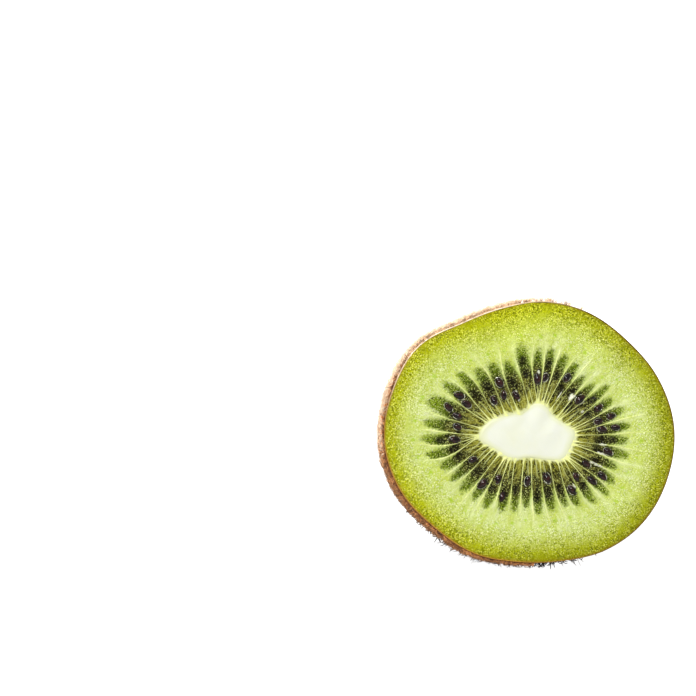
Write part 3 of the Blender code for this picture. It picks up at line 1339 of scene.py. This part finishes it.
@dataclass(frozen=True)
class CutFlesh:
    """The flesh and the seed ring as one moist body, with the relief of the cut.

    Attributes:
        ring: The seed ring.
        seeds: The seeds, which darken the gel around them.
        gel_depth: How far the gel lies below the cut, in metres.
        under_core: Reach at which the flesh slips under the core's edge.
        pocket_depth: Depth of the hidden room behind the core, in metres.
        pocket: Depth and width of the room's rows, from its middle, as shares of the whole.
        fine_reach: Reach up to which the rows lie closer together.
        inner_rows: Rows of points as far as that.
        outer_rows: Rows of points from there to the skin.
        back_rows: Rows of points along the hidden side.
        septum_widths: Half width of a septum in millimetres, at some reaches.
        septum_strengths: How plainly a septum shows, at some reaches.
        swells: Wavelength in millimetres, random seed and height in millimetres of the cut's swells.
        septum_height: How high the septa stand, in millimetres.
        ripe_side: Bearing of the yellower side of the rim, in degrees.
        painted_shade_side: Bearing of the side of the rim that painted shade darkens, in degrees.
        draw: Seed of the random draws.
    """

    ring: SeedRing
    seeds: Seeds
    gel_depth: float = 0.22 * MM
    under_core: float = -0.06
    pocket_depth: float = 9.0 * MM
    pocket: tuple[tuple[float, float], ...] = ((1.0, 0.0), (1.0, 0.55), (0.85, 0.85), (0.2, 1.0))
    fine_reach: float = 0.68
    inner_rows: int = 82
    outer_rows: int = 26
    back_rows: int = 12
    septum_widths: tuple[tuple[float, float], ...] = (
        (0.0, 0.28), (0.025, 0.14), (0.07, 0.08), (0.2, 0.06), (0.35, 0.065), (0.5, 0.1),
    )  # fmt: skip
    septum_strengths: tuple[tuple[float, float], ...] = (
        (0.0, 1.0), (0.06, 0.8), (0.2, 0.8), (0.4, 0.85), (0.6, 0.6),
    )  # fmt: skip
    swells: tuple[tuple[float, int, float], ...] = ((9.0, 31, 0.1), (2.5, 32, 0.03))
    septum_height: float = 0.1
    ripe_side: float = 93.0
    painted_shade_side: float = 324.0
    draw: int = 11

    def rows(self) -> Array:
        """Reach of every row of the cut, closer together in the seed ring."""
        inner = np.linspace(self.under_core, self.fine_reach, self.inner_rows, endpoint=False)
        return np.concatenate([inner, np.linspace(self.fine_reach, 1.0, self.outer_rows + 1)])

    def septa(self, cut: Cut) -> Array:
        """Where the pale septa lie, 0 to 1.

        Args:
            cut: The points of the cut.

        Returns:
            The mask.
        """
        rng = np.random.default_rng(self.draw)
        count = len(self.ring.locules)
        thick = rng.uniform(0.7, 1.3, count)
        split = rng.uniform(size=count) < 0.7
        which, reach = cut.septum % count, cut.reach
        wander = uneven(np.stack([cut.septum, reach * 40.0, reach * 0.0], axis=-1), 4.0, 24)
        half = read_off(self.septum_widths, reach) * MM * thick[which] * (1.0 + 0.25 * wander)
        septum = smoothstep(half * 1.6, half * 0.4, cut.off_septum)
        run = self.ring.of("run")[which]
        septum = septum * smoothstep(run, run - 0.2, reach) * read_off(self.septum_strengths, reach)

        # Some locules have a short half-grown septum inside.
        side = 0.5 + rng.uniform(-0.12, 0.12, count)[cut.locule] + 0.6 * (reach - 0.1)
        inside = np.abs(cut.phase - cut.number - side) * cut.width
        short = split[cut.locule] * 0.6 * smoothstep(0.24, 0.12, reach)
        return np.maximum(septum, short * smoothstep(0.11 * MM, 0.03 * MM, inside))

    def rays(self, cut: Cut) -> Array:
        """Where the flesh is whitish outside the septa, between the lobes' tips, 0 to 1.

        Args:
            cut: The points of the cut.

        Returns:
            The mask.
        """
        rng = np.random.default_rng(self.draw + 2)
        count = len(self.ring.locules)
        strong = rng.uniform(0.3, 1.0, count)[cut.septum % count]
        far = rng.uniform(0.62, 0.82, count)[cut.septum % count]
        away = cut.off_septum / (read_off(((0.3, 0.3), (0.6, 0.75)), cut.reach) * MM)
        band = smoothstep(0.3, 0.46, cut.reach) * smoothstep(far, far - 0.15, cut.reach)
        patchy = np.clip(0.65 + rough(cut.places, (1.8, 25, 0.35)), 0.0, 1.0)
        fine = np.exp(-((away * 5.0) ** 2)) * (0.5 + 0.5 * strong)
        return np.maximum(np.exp(-(away**2)) * strong, fine) * band * patchy

    def film_glints(self, cut: Cut) -> Array:
        """Where a torn film lies on the gel beside a seed, painted near white as a highlight, 0 to 1.

        Args:
            cut: The points of the cut.

        Returns:
            The mask.
        """
        torn = rough(cut.places, (0.6, 26, 0.45))
        total = np.zeros(cut.reach.shape)
        for around, reach, length, breadth, strength in TORN_FILM_GLINTS:
            middle, ahead = self.ring.spots([(around, reach)])
            near = cut.off_oval(middle[0], ahead[0], length * MM, breadth * MM) + torn
            total = np.maximum(total, strength * smoothstep(1.1, 0.6, near))
        return total

    def lobes(self, cut: Cut) -> Array:
        """Where the dark lobes of gel lie, 0 to 1.

        Args:
            cut: The points of the cut.

        Returns:
            The mask.
        """
        base_reach, reach = 0.22, cut.reach
        inside = cut.phase - cut.number
        tip_around, tip_reach = np.moveaxis(self.ring.of("tip")[cut.locule], -1, 0)
        tip_around = tip_around + cut.number // len(self.ring.locules) * STEPS_ROUND
        left, right = (self.ring.septum(cut.number + side, tip_reach) for side in (0, 1))
        tip_side = np.clip((tip_around - left) / (right - left), 0.3, 0.7)
        ragged = rough(cut.places, (0.9, 21, 0.012), (0.4, 22, 0.012))
        frayed = rough(cut.places, (0.5, 23, 0.05), (0.3, 29, 0.045)) * smoothstep(0.2, 0.4, reach)
        share = np.clip((reach + ragged - base_reach) / (tip_reach + 0.015 - base_reach), 0.0, 1.0)
        arch = 1.0 - np.clip((share - 0.4) / 0.6, 0.0, 1.0) ** 2.3
        full = 0.5 * (1.0 - 0.28 * smoothstep(0.05, 0.62, share)) * arch**0.75
        away = np.abs(inside - 0.5 - (tip_side - 0.5) * smoothstep(0.0, 0.9, share)) + frayed
        soft = read_off(((0.2, 0.1), (0.5, 0.34)), reach) * MM
        lobe = smoothstep(-soft, soft, (full - away) * cut.width) * smoothstep(1.0, 0.85, share)
        foot = 0.018 + 0.045 * np.abs(2.0 * inside - 1.0) ** 3
        return lobe * smoothstep(foot - 0.014, foot + 0.014, reach + ragged * 0.5)

    def halo(self, cut: Cut) -> Array:
        """How far the seeds darken the gel around and above them, 0 to 1.

        Args:
            cut: The points of the cut.

        Returns:
            The mask.
        """
        total = np.zeros(cut.reach.shape)
        for sort, spread, strength in (("bare", 0.66, 0.8), ("sunk", 0.6, 0.95)):
            seeds = self.seeds.laid(sort)
            for middle, ahead, size in zip(seeds["middle"], seeds["direction"], seeds["size"]):
                near = cut.off_oval(middle, ahead, spread * size, 0.7 * spread * size)
                total = np.maximum(total, strength * np.exp(-(near**2.2)))
        return total

    def dots(self, cut: Cut) -> Array:
        """The small green dots outside the lobes' tips, 0 to 1.

        Args:
            cut: The points of the cut.

        Returns:
            The mask.
        """
        rng = np.random.default_rng(self.draw + 1)
        around, reach = self.ring.of("tip").T
        count = len(around)
        reach = np.clip(reach + rng.uniform(0.07, 0.12, count), 0.58, 0.7)
        wobble = rough(cut.places, (0.5, 27, 0.35))
        total = np.zeros(cut.reach.shape)
        middles = self.ring.form.face(around / STEPS_ROUND, reach)
        for middle, size in zip(middles, rng.uniform(0.22, 0.42, count) * MM):
            near = np.sum((cut.places - middle) ** 2, axis=-1) / size**2 + wobble
            total = np.maximum(total, np.exp(-near))
        return total

    def masks(self, cut: Cut) -> dict[str, Array]:
        """Works out all that the material reads.

        Args:
            cut: The points of the cut.

        Returns:
            The masks by name.
        """
        septum = self.septa(cut)
        degrees = np.degrees(bearing(cut.places)) % 360.0
        ripe = np.exp(-(((degrees - self.ripe_side) / 40.0) ** 2))
        # The painted shade falls on the rim's side away from the light.
        facing = 0.5 + 0.5 * np.cos(np.radians(degrees - self.painted_shade_side))
        return {
            "reach": cut.reach,
            "septum": septum,
            "dots": self.dots(cut),
            "ray": self.rays(cut),
            "film_glint": self.film_glints(cut),
            "lobe": self.lobes(cut) * (1.0 - septum),
            "halo": self.halo(cut) * (1.0 - 0.7 * septum),
            "ripe": ripe * smoothstep(0.45, 0.85, cut.reach),
            "shade": 0.9 * smoothstep(0.15, 0.95, facing) * smoothstep(0.7, 0.97, cut.reach),
        }

    def height(self, cut: Cut, masks: dict[str, Array]) -> Array:
        """Height of the relief: swells, septa, lumps and films stand up, and gel and rims dip.

        Args:
            cut: The points of the cut.
            masks: The masks.

        Returns:
            Height over the plain cut, in metres.
        """
        reach = cut.reach
        lumps = rough(cut.places, (0.55, 33, 0.03))
        height = rough(cut.places, *self.swells)
        height += masks["septum"] * smoothstep(0.0, 0.1, reach) * self.septum_height
        height += lumps * smoothstep(-0.02, 0.1, reach)
        height -= masks["lobe"] * smoothstep(0.02, 0.2, reach) * self.gel_depth / MM
        height -= smoothstep(0.0, self.under_core, reach) * 0.2
        height -= smoothstep(0.975, 1.0, reach) * 0.1
        height += masks["film_glint"] * (0.12 + lumps)
        return height * MM

    def build(self, stand: Stand) -> Object:
        """Models the piece: the pocket behind the core, the cut, and the side under the skin.

        Args:
            stand: Where the fruit stands.

        Returns:
            The flesh.
        """
        form = self.ring.form
        reach, phase = np.meshgrid(self.rows(), self.ring.phases(), indexing="ij")
        cut = Cut(self.ring, phase, reach)
        masks = self.masks(cut)
        face = cut.places.copy()
        face[..., 1] = -self.height(cut, masks)

        lip = cut.places[0]
        heart = lip.mean(axis=0)
        pocket = []
        for depth, share in self.pocket:
            pocket.append(in_depth((heart + (lip - heart) * share)[:, ::2], depth * self.pocket_depth))
        turn, angle = np.meshgrid(form.turns(self.back_rows)[1:], bearing(face[-1]), indexing="ij")
        points = np.concatenate([pocket, face, form.under_skin(angle, turn)])

        more = ((len(pocket), self.back_rows), (0, 0))
        kept = {name: np.pad(values, more, mode="edge") for name, values in masks.items()}
        angle = np.pad(cut.around, more, mode="edge") * WHOLE_TURN
        drum = form.girth(0.4) / WHOLE_TURN
        outward = kept["reach"] * (form.skin.girth - form.core.girth) / WHOLE_TURN
        kept["flow"] = np.stack([drum * np.cos(angle), drum * np.sin(angle), outward], axis=-1)
        return Modeller.grid("flesh_cut", stand.place(points, 0.1 * MM), kept)


@dataclass(frozen=True)
class Core:
    """The creamy core: a smooth, faintly domed top on a plug that fills its pocket.

    Attributes:
        form: The fruit's form.
        columns: Columns of points around it.
        rings: Rings of points from its middle to its edge.
        overlap: How far its edge laps over the flesh, in metres.
        dome: Height of the dome, in metres.
        droop: How far its edge droops, in metres.
        depth: Depth of the plug, in metres.
        plug: Depth and width of the plug's rings, from its edge, as shares of the whole.
    """

    form: FruitForm
    columns: int = 360
    rings: int = 40
    overlap: float = 0.1 * MM
    dome: float = 0.14 * MM
    droop: float = 0.12 * MM
    depth: float = 8.0 * MM
    plug: tuple[tuple[float, float], ...] = ((0.06, 0.985), (0.8, 0.9), (1.0, 0.6), (1.0, 0.0))

    def build(self, stand: Stand) -> Object:
        """Models the piece.

        Args:
            stand: Where the fruit stands.

        Returns:
            The core.
        """
        rim = self.form.core.at_share(np.linspace(0.0, 1.0, self.columns + 1), self.overlap)
        heart = np.array(self.form.core.centre) * MM
        shares = np.linspace(0.0, 1.0, self.rings + 1)
        height = self.dome * (1.0 - shares**3) - self.droop * smoothstep(0.94, 1.0, shares)
        face = in_depth(heart + (rim - heart) * shares[:, None, None], 0.0)
        face[..., 1] = -height[:, None] - rough(face, (4.0, 41, 0.03)) * MM
        side = []
        for depth, share in self.plug:
            side.append(in_depth(heart + (rim - heart) * share, depth * self.depth))
        reach = np.pad(shares, (0, len(side)), mode="edge")[:, None] * np.ones(len(rim))
        return Modeller.grid("core_plug", stand.place(np.concatenate([face, side])), {"reach": reach})


@dataclass(frozen=True)
class Skin:
    """The skin as a thin shell, open at the cut and flat where it rests.

    Attributes:
        form: The fruit's form.
        columns: Columns of points around it.
        rows: Rows of points on its outside.
        inner_rows: Rows of points on its inside.
        nub_height: Height of the nub at the far end, in metres.
        nub_radius: Radius of the nub, in metres.
        lip: How far the edge at the cut stands out, in metres.
        waves: Wavelength in millimetres, random seed and height in millimetres of each unevenness.
        crest_start: Bearings at which the rim's pale upper part, a painted highlight, begins and is full,
            in degrees.
        crest_end: Bearings at which it ends and is still full, in degrees.
    """

    form: FruitForm
    columns: int = 420
    rows: int = 170
    inner_rows: int = 24
    nub_height: float = 0.8 * MM
    nub_radius: float = 3.4 * MM
    lip: float = 0.06 * MM
    waves: tuple[tuple[float, int, float], ...] = ((11.0, 51, 0.09), (3.0, 52, 0.04), (1.1, 53, 0.03))
    crest_start: tuple[float, float] = (62.0, 88.0)
    crest_end: tuple[float, float] = (188.0, 164.0)

    def outside(self, angle: Array, turn: Array) -> Array:
        """Places on the skin's outside, with its unevenness and its nub.

        Args:
            angle: Angle around the fruit.
            turn: 0 at the cut and a quarter turn at the far end.

        Returns:
            The places in the fruit's own frame.
        """
        points = self.form.body(angle, turn)
        nub, back = self.from_nub(points)
        bump = np.exp(-(((nub - 0.62) / 0.45) ** 2)) - 0.7 * np.exp(-((nub / 0.4) ** 2))
        outward = unit(points - np.array([0.0, self.form.length * 0.35, 0.0]))
        waves = rough(points, *self.waves) * MM
        points = points + outward * (waves * smoothstep(0.0, 0.08, turn))[..., None]
        points[..., 1] += back * self.nub_height * bump
        return points

    def from_nub(self, points: Array) -> tuple[Array, Array]:
        """Measures places from the long axis, in radii of the nub, and tells the far half."""
        radius = np.hypot(points[..., 0], points[..., 2])
        return radius / self.nub_radius, points[..., 1] > self.form.length / 2

    def masks(self, points: Array) -> dict[str, Array]:
        """Works out all that the material reads.

        Args:
            points: Places on the skin.

        Returns:
            The masks by name.
        """
        nub, back = self.from_nub(points)
        depth = points[..., 1] / MM
        degrees = np.degrees(bearing(points)) % 360.0
        # The upper-left rim gets a painted highlight, creamy where the light falls.
        crest_highlight = smoothstep(*self.crest_start, degrees) * smoothstep(*self.crest_end, degrees)
        return {
            "scar": back * np.exp(-((nub / 0.42) ** 4)),
            "lip": smoothstep(0.5, 0.1, depth),
            "crest_highlight": crest_highlight * smoothstep(4.4, 1.8, depth),
            "far": smoothstep(5.0, 13.0, depth),
        }

    def build(self, stand: Stand) -> Object:
        """Models the piece.

        Args:
            stand: Where the fruit stands.

        Returns:
            The skin.
        """
        around = np.linspace(0.0, WHOLE_TURN, self.columns + 1)
        turn, angle = np.meshgrid(self.form.turns(self.rows), around, indexing="ij")
        outer = self.outside(angle, turn)
        turn, angle = np.meshgrid(self.form.turns(self.inner_rows)[::-1], around, indexing="ij")
        inner = self.form.under_skin(angle, turn)
        inner[-1] += (inner[-1] - outer[0]) * 0.4
        lip = (inner[-1] + outer[0]) / 2
        lip[:, 1] -= self.lip + rough(lip, (1.2, 54, 0.03)) * MM
        points = np.concatenate([inner, lip[None], outer])
        return Modeller.grid("skin_shell", stand.place(points, 0.0), self.masks(points))


# Where a coat begins and ends along the rim, as bearings in degrees; of three, the middle one is
# where it is thickest.
UPPER_BEARINGS = (60.0, 146.0, 188.0)
LOWER_BEARINGS = (202.0, 254.0, 300.0)
SIDE_BEARINGS = (148.0, 268.0)
# The painted highlight of the upper-left rim, which the dark coat leaves bare.
CREST_BEARINGS = (80.0, 172.0)


class Region(Enum):
    """Where on the skin a coat of hairs grows."""

    ALL_OVER = "all over"
    UPPER_RIM = "upper rim"
    SIDE_RIM = "side rim"
    LOWER_RIM = "lower rim"
    FAR_END = "far end"


@dataclass(frozen=True)
class Fuzz:
    """One coat of short hairs on the skin, in small clumps that lean the same way.

    Attributes:
        skin: The skin that the hairs grow from.
        name: Name of the piece.
        finish: The hairs' finish.
        clumps: How many clumps.
        each: Hairs in a clump.
        length: Shortest and longest hair, in millimetres.
        lift: Least and greatest angle off the skin, in radians.
        radius: Radius at the root, in metres.
        seed: Seed of the random draws.
        rings: Rings of points along a hair, under the tip.
        region: Where the coat grows.
        below_crest_highlight: Whether the coat leaves bare the rim's painted highlight at the upper left.
        rim_turn: Turn from the cut over which the rim's coats grow, in radians.
        clump_spread: How far the roots usually lie from their clump's middle, in metres.
        taper: How much thinner a hair is at its tip than at its root, as a share.
    """

    skin: Skin
    name: str
    finish: HairFinish
    clumps: int
    each: int
    length: tuple[float, float]
    lift: tuple[float, float]
    radius: float
    seed: int
    rings: int = 2
    region: Region = Region.ALL_OVER
    below_crest_highlight: bool = False
    rim_turn: float = 0.1
    clump_spread: float = 0.16 * MM
    taper: float = 0.55

    def middles(self, rng: np.random.Generator) -> tuple[Array, Array]:
        """Draws the middles of the clumps over the coat's region.

        Args:
            rng: The random draws.

        Returns:
            Angle and turn of every clump.
        """
        form, count = self.skin.form, self.clumps
        if self.region is Region.LOWER_RIM:
            # The clumps lie at the outer edge of the rim, so they start further back at the left.
            angle = np.radians(rng.triangular(*LOWER_BEARINGS, count))
            turn = (0.08 - 0.32 * np.minimum(np.cos(angle), 0.0)) * rng.uniform(0.75, 1.25, count)
        elif self.region in (Region.UPPER_RIM, Region.SIDE_RIM):
            turn = self.rim_turn * rng.uniform(size=count) ** 2
            if self.region is Region.UPPER_RIM:
                angle = np.radians(rng.triangular(*UPPER_BEARINGS, count))
            else:
                angle = np.radians(rng.uniform(*SIDE_BEARINGS, count))
        else:
            if self.region is Region.FAR_END:
                turn = np.arccos(rng.uniform(0.05, 0.19, count) ** (form.fullness / 2.0))
            else:
                turns = form.turns(400)
                weight = np.clip(form.body(np.zeros_like(turns), turns)[:, 0], 0.0, None)
                share = np.concatenate([[0.0], np.cumsum((weight[1:] + weight[:-1]) / 2)])
                turn = np.interp(rng.uniform(0.0, share[-1], count), share, turns)
            angle = rng.uniform(0.0, WHOLE_TURN, count)
        if self.below_crest_highlight:
            start, end = np.radians(CREST_BEARINGS)
            under = (turn < self.rim_turn) & (angle > start) & (angle < end)
            angle = np.where(under, -angle, angle)
        return angle, turn

    def roots(self, rng: np.random.Generator) -> tuple[Array, Array]:
        """Draws the roots about the middle of each clump.

        Args:
            rng: The random draws.

        Returns:
            Angle and turn of every root.
        """
        angle, turn = self.middles(rng)
        length = self.skin.form.length
        spread = rng.normal(0.0, self.clump_spread, (2, self.clumps, self.each))
        across = np.maximum(length * np.cos(turn), 3.0 * MM)[:, None]
        turn = turn[:, None] + spread[0] / length
        angle = angle[:, None] + spread[1] / across
        return angle.ravel(), np.clip(turn.ravel(), 0.004, QUARTER_TURN - 0.004)

    def ways(self, rng: np.random.Generator, angle: Array, turn: Array) -> tuple[Array, ...]:
        """Where each hair grows, which way it leans over the skin, and how far off the skin.

        Args:
            rng: The random draws.
            angle: Angle of every root.
            turn: Turn of every root.

        Returns:
            The roots, the directions along the skin, the skin's normals, and the lifts.
        """
        count, step = len(angle), 1e-3
        outside = self.skin.outside
        root = outside(angle, turn)
        ahead = unit(outside(angle, turn + step) - outside(angle, turn - step))
        beside = unit(outside(angle + step, turn) - outside(angle - step, turn))
        normal = unit(np.cross(beside, ahead))
        heart = np.array([0.0, self.skin.form.length * 0.3, 0.0])
        normal *= np.sign((normal * (root - heart)).sum(axis=1))[:, None]
        clump = np.repeat(rng.normal(0.0, 1.0, self.clumps), self.each)
        heading = clump + rng.normal(0.0, 0.4, count) + rough(root, (6.0, self.seed + 1, 1.4))
        lift = rng.uniform(*self.lift, count)
        if self.region is Region.ALL_OVER:
            # At the cut the hairs lie back, so that the rim stays neat.
            clear = smoothstep(0.0, 0.16, turn)
            heading *= 0.25 + 0.75 * clear
            lift *= 0.3 + 0.7 * clear
        elif self.region is Region.FAR_END:
            heading = math.pi + rng.normal(0.0, 0.6, count)
        return root, turned(ahead, beside, heading), normal, lift

    def hair_faces(self) -> Array:
        """Numbers the faces of one three-sided hair, closed at its root and pointed at its tip.

        Returns:
            The faces, as rows of point numbers.
        """
        faces = []
        for low in range(0, (self.rings - 1) * 3, 3):
            for side in range(3):
                here, other = low + side, low + (side + 1) % 3
                faces += [(here, other, other + 3), (here, other + 3, here + 3)]
        last, tip = (self.rings - 1) * 3, self.rings * 3
        faces += [(last + side, last + (side + 1) % 3, tip) for side in range(3)]
        return np.array([*faces, (2, 1, 0)])

    def build(self, stand: Stand) -> Object:
        """Models one coat of hairs as one piece.

        Args:
            stand: Where the fruit stands.

        Returns:
            The hairs.
        """
        rng = np.random.default_rng(self.seed)
        root, flat, normal, lift = self.ways(rng, *self.roots(rng))
        count = len(root)
        length = rng.uniform(*(limit * MM for limit in self.length), count)
        curl = rng.normal(0.0, 0.9, count)
        bend = rng.uniform(0.2, 0.9, count) * lift

        steps = np.linspace(0.0, 1.0, self.rings + 1)
        centre = [root - normal * self.radius]
        for middle in (steps[1:] + steps[:-1]) / 2:
            way = turned(flat, np.cross(normal, flat), curl * middle)
            way = turned(way, normal, lift - bend * middle * 1.6)
            centre.append(centre[-1] + way * (length / self.rings)[:, None])
        sides = turned(np.cross(flat, normal)[:, None], normal[:, None], np.arange(3) * WHOLE_TURN / 3)
        points = []
        for middle, step in zip(centre, steps[:-1]):
            points.append(middle[:, None] + sides * self.radius * (1.0 - self.taper * step))
        points = np.concatenate([*points, centre[-1][:, None]], axis=1)
        placed = stand.shorten(stand.place(root), stand.place(points))

        along = np.concatenate([np.repeat(steps[:-1], 3), [1.0]])
        tint = np.repeat(rng.uniform(size=self.clumps), self.each)
        if self.region is Region.ALL_OVER:
            tint = tint + 0.3 * smoothstep(5.0 * MM, 13.0 * MM, root[:, 1])
        masks = {"along": np.tile(along, count), "tint": np.repeat(tint, len(along))}
        return Modeller.joined(self.name, placed, self.hair_faces(), masks)


def coats(skin: Skin) -> list[Fuzz]:
    """The coats of hairs.

    Args:
        skin: The skin that they grow from.

    Returns:
        The coats, in order.
    """
    pale = HairFinish("kiwi_hair_pale", Hue.HAIR_ROOT, Hue.HAIR_TIP)
    dark = HairFinish("kiwi_hair_dark", Hue.HAIR_DARK, Hue.HAIR_BROWN)
    russet = HairFinish("kiwi_hair_russet", Hue.HAIR_RUSSET_ROOT, Hue.HAIR_RUSSET)
    cream_highlight = HairFinish("kiwi_hair_cream_highlight", Hue.HAIR_CREAM_HIGHLIGHT_ROOT, Hue.HAIR_CREAM_HIGHLIGHT)
    shaded_black = HairFinish("kiwi_hair_guard_shaded", Hue.GUARD_PAINTED_SHADE, Hue.GUARD_TIP_PAINTED_SHADE)
    orange = HairFinish("kiwi_hair_tuft", Hue.TUFT_ROOT, Hue.TUFT_TIP)
    thin, fair, felt, crest_highlight, stiff = 0.042 * MM, 0.05 * MM, 0.065 * MM, 0.06 * MM, 0.13 * MM
    upper, side, lower, end = Region.UPPER_RIM, Region.SIDE_RIM, Region.LOWER_RIM, Region.FAR_END
    return [
        Fuzz(skin, "fuzz_short", pale, 5300, 3, (0.5, 1.1), (0.15, 0.7), thin, 61),
        Fuzz(skin, "fuzz_under", dark, 6800, 2, (0.5, 1.2), (0.1, 0.5), fair, 62, below_crest_highlight=True),
        Fuzz(skin, "fuzz_rim", russet, 700, 5, (0.8, 1.5), (0.7, 1.35), felt, 66, 2, side),
        # Cream hairs on the upper-left rim are a painted highlight where the light falls.
        Fuzz(skin, "fuzz_crest_highlight", cream_highlight, 860, 6, (1.2, 2.0), (1.1, 1.5), crest_highlight, 67, 2, upper),
        Fuzz(skin, "fuzz_long", pale, 2900, 4, (1.0, 2.0), (0.15, 0.6), thin, 63, 3),
        # Near-black hairs on the lower rim are painted shade on the rim's shaded side.
        Fuzz(skin, "fuzz_guard_shaded", shaded_black, 260, 1, (0.9, 2.2), (0.9, 1.5), stiff, 64, 3, lower),
        Fuzz(skin, "fuzz_tuft", orange, 420, 2, (1.0, 2.0), (0.3, 0.9), fair, 65, 3, end),
    ]


@dataclass(frozen=True)
class Studio:
    """A pale floor, soft light and the camera.

    Attributes:
        stand: Where the fruit stands.
        azimuth: The camera's direction, in degrees; negative is to the left of the cut.
        elevation: The camera's height above the cut's middle, in degrees.
        distance: From the camera to the cut's middle, in metres.
        view_width: Width of the view at the cut, in metres.
        offset: How far right of and below the view's middle the cut lies, as shares of its width.
        horizon_glow: Strength of the sky's light at the horizon.
        sky_glow: Strength of the sky's light overhead.
        floor_size: Width of the floor, in metres.
        floor_grey: How light the floor's plain colour is.
        floor_glow: Strength of the floor's own light.
        floor_shown: How much stronger the camera sees that light.
        suns: Name, direction, strength and width in degrees of each soft sun.
    """

    stand: Stand
    azimuth: float = -15.3
    elevation: float = 14.5
    distance: float = 0.45
    view_width: float = 0.1273
    offset: tuple[float, float] = (0.2657, 0.1181)
    horizon_glow: float = 0.28
    sky_glow: float = 0.6
    floor_size: float = 30.0
    floor_grey: float = 0.3
    floor_glow: float = 0.2
    floor_shown: float = 0.85
    suns: tuple[tuple[str, tuple[float, float, float], float, float], ...] = (
        ("key_light", (-0.45, -0.4, 0.78), 1.1, 26.0),
        ("glint_light", (-0.1, -0.75, 0.65), 1.3, 9.0),
        ("top_light", (-0.32, 0.3, 0.9), 4.6, 12.0),
    )

    def camera(self) -> None:
        """Sets up the camera."""
        data = bpy.data.cameras.new("camera")
        data.sensor_width = 36.0
        data.lens = data.sensor_width * self.distance / self.view_width
        data.clip_start = 0.01
        camera = bpy.data.objects.new("camera", data)
        bpy.context.scene.collection.objects.link(camera)
        side, rise = math.radians(self.azimuth), math.radians(self.elevation)
        back = Vector((math.sin(side) * math.cos(rise), -math.cos(side) * math.cos(rise), math.sin(rise)))
        middle = Vector(self.stand.origin)
        camera.location = middle + back * self.distance
        right = Vector((0.0, 0.0, 1.0)).cross(back).normalized()
        aim = middle + (back.cross(right) * self.offset[1] - right * self.offset[0]) * self.view_width
        camera.rotation_euler = (aim - camera.location).to_track_quat("-Z", "Y").to_euler()
        bpy.context.scene.camera = camera

    def sun(self, name: str, toward: tuple[float, float, float], power: float, spread: float) -> None:
        """Adds a soft sun.

        Args:
            name: Name of the light.
            toward: Direction from the fruit to the light.
            power: Strength of the light.
            spread: Width of the light in the sky, in degrees.
        """
        data = bpy.data.lights.new(name, "SUN")
        data.energy = power
        data.angle = math.radians(spread)
        light = bpy.data.objects.new(name, data)
        bpy.context.scene.collection.objects.link(light)
        light.rotation_euler = Vector(toward).to_track_quat("Z", "Y").to_euler()

    def world(self) -> None:
        """A white sky that lights softly from above and shows plain white to the camera."""
        world = bpy.data.worlds.new("white_sky")
        world.use_nodes = True
        graph = Graph(world.node_tree)
        seen = graph.node("ShaderNodeLightPath").outputs["Is Camera Ray"]
        way = graph.node("ShaderNodeTexCoord").outputs["Generated"]
        height = graph.node("ShaderNodeSeparateXYZ", {0: way}).outputs[2]
        glow = {0: height, 1: 0.0, 2: 1.0, 3: self.horizon_glow, 4: self.sky_glow}
        lit = graph.node("ShaderNodeMapRange", glow, clamp=True).outputs[0]
        strength = graph.math("ADD", graph.product(lit, graph.math("SUBTRACT", 1.0, seen)), seen)
        graph.feed(world.node_tree.nodes["Background"], {"Color": WHITE, "Strength": strength})
        bpy.context.scene.world = world

    def floor(self) -> None:
        """A wide pale floor that shows nearly white to the camera."""
        bpy.ops.object.select_all(action="DESELECT")
        bpy.ops.mesh.primitive_plane_add(size=self.floor_size)
        floor = bpy.context.object
        floor.name = floor.data.name = "floor"
        plain = {"Roughness": 0.6, "Specular IOR Level": 0.2, "Emission Color": WHITE}
        paint = Paint("floor_white", plain | {"Base Color": (*(self.floor_grey,) * 3, 1.0)})
        seen = paint.product(paint.node("ShaderNodeLightPath").outputs["Is Camera Ray"], self.floor_shown)
        paint.feed(paint.shader, {"Emission Strength": paint.math("ADD", seen, self.floor_glow)})
        floor.data.materials.append(paint.material)

    def build(self) -> None:
        """Builds the studio."""
        view = bpy.context.scene.view_settings
        view.view_transform, view.look = "Standard", "None"
        self.camera()
        self.floor()
        self.world()
        for sun in self.suns:
            self.sun(*sun)


def finish_piece(piece: Object, material: Material, nodes: tuple[str, ...] = ()) -> None:
    """Dresses a piece, hangs it under the root and hides the CAD parts that it stands for.

    Args:
        piece: The piece.
        material: Its material.
        nodes: CAD nodes that it stands for.
    """
    piece.data.materials.append(material)
    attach(piece, "root")
    if nodes:
        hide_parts(*nodes)
    LOG.info("%s: %d faces", piece.name, len(piece.data.polygons))


def main() -> None:
    """Builds the fruit's looks, piece by piece, and the studio around it."""
    logging.basicConfig(level=logging.INFO, format="%(name)s: %(message)s")
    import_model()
    form = FruitForm()
    stand = Stand.from_box(form, *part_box("flesh"))

    ring = SeedRing(form)
    seeds = Seeds(ring)
    flesh = CutFlesh(ring, seeds)
    finish_piece(flesh.build(stand), FleshFinish().material(), ("flesh", "seed_ring"))
    finish_piece(Core(form).build(stand), CoreFinish().material(), ("core",))
    finish_piece(seeds.build(stand, flesh.gel_depth), SEED_FINISH.material())
    finish_piece(seeds.rims(stand, flesh.gel_depth), WET_GLINT_FINISH.material())

    skin = Skin(form)
    finish_piece(skin.build(stand), SkinFinish().material())
    for coat in coats(skin):
        finish_piece(coat.build(stand), coat.finish.material())

    Studio(stand).build()


if __name__ == "__main__":
    main()
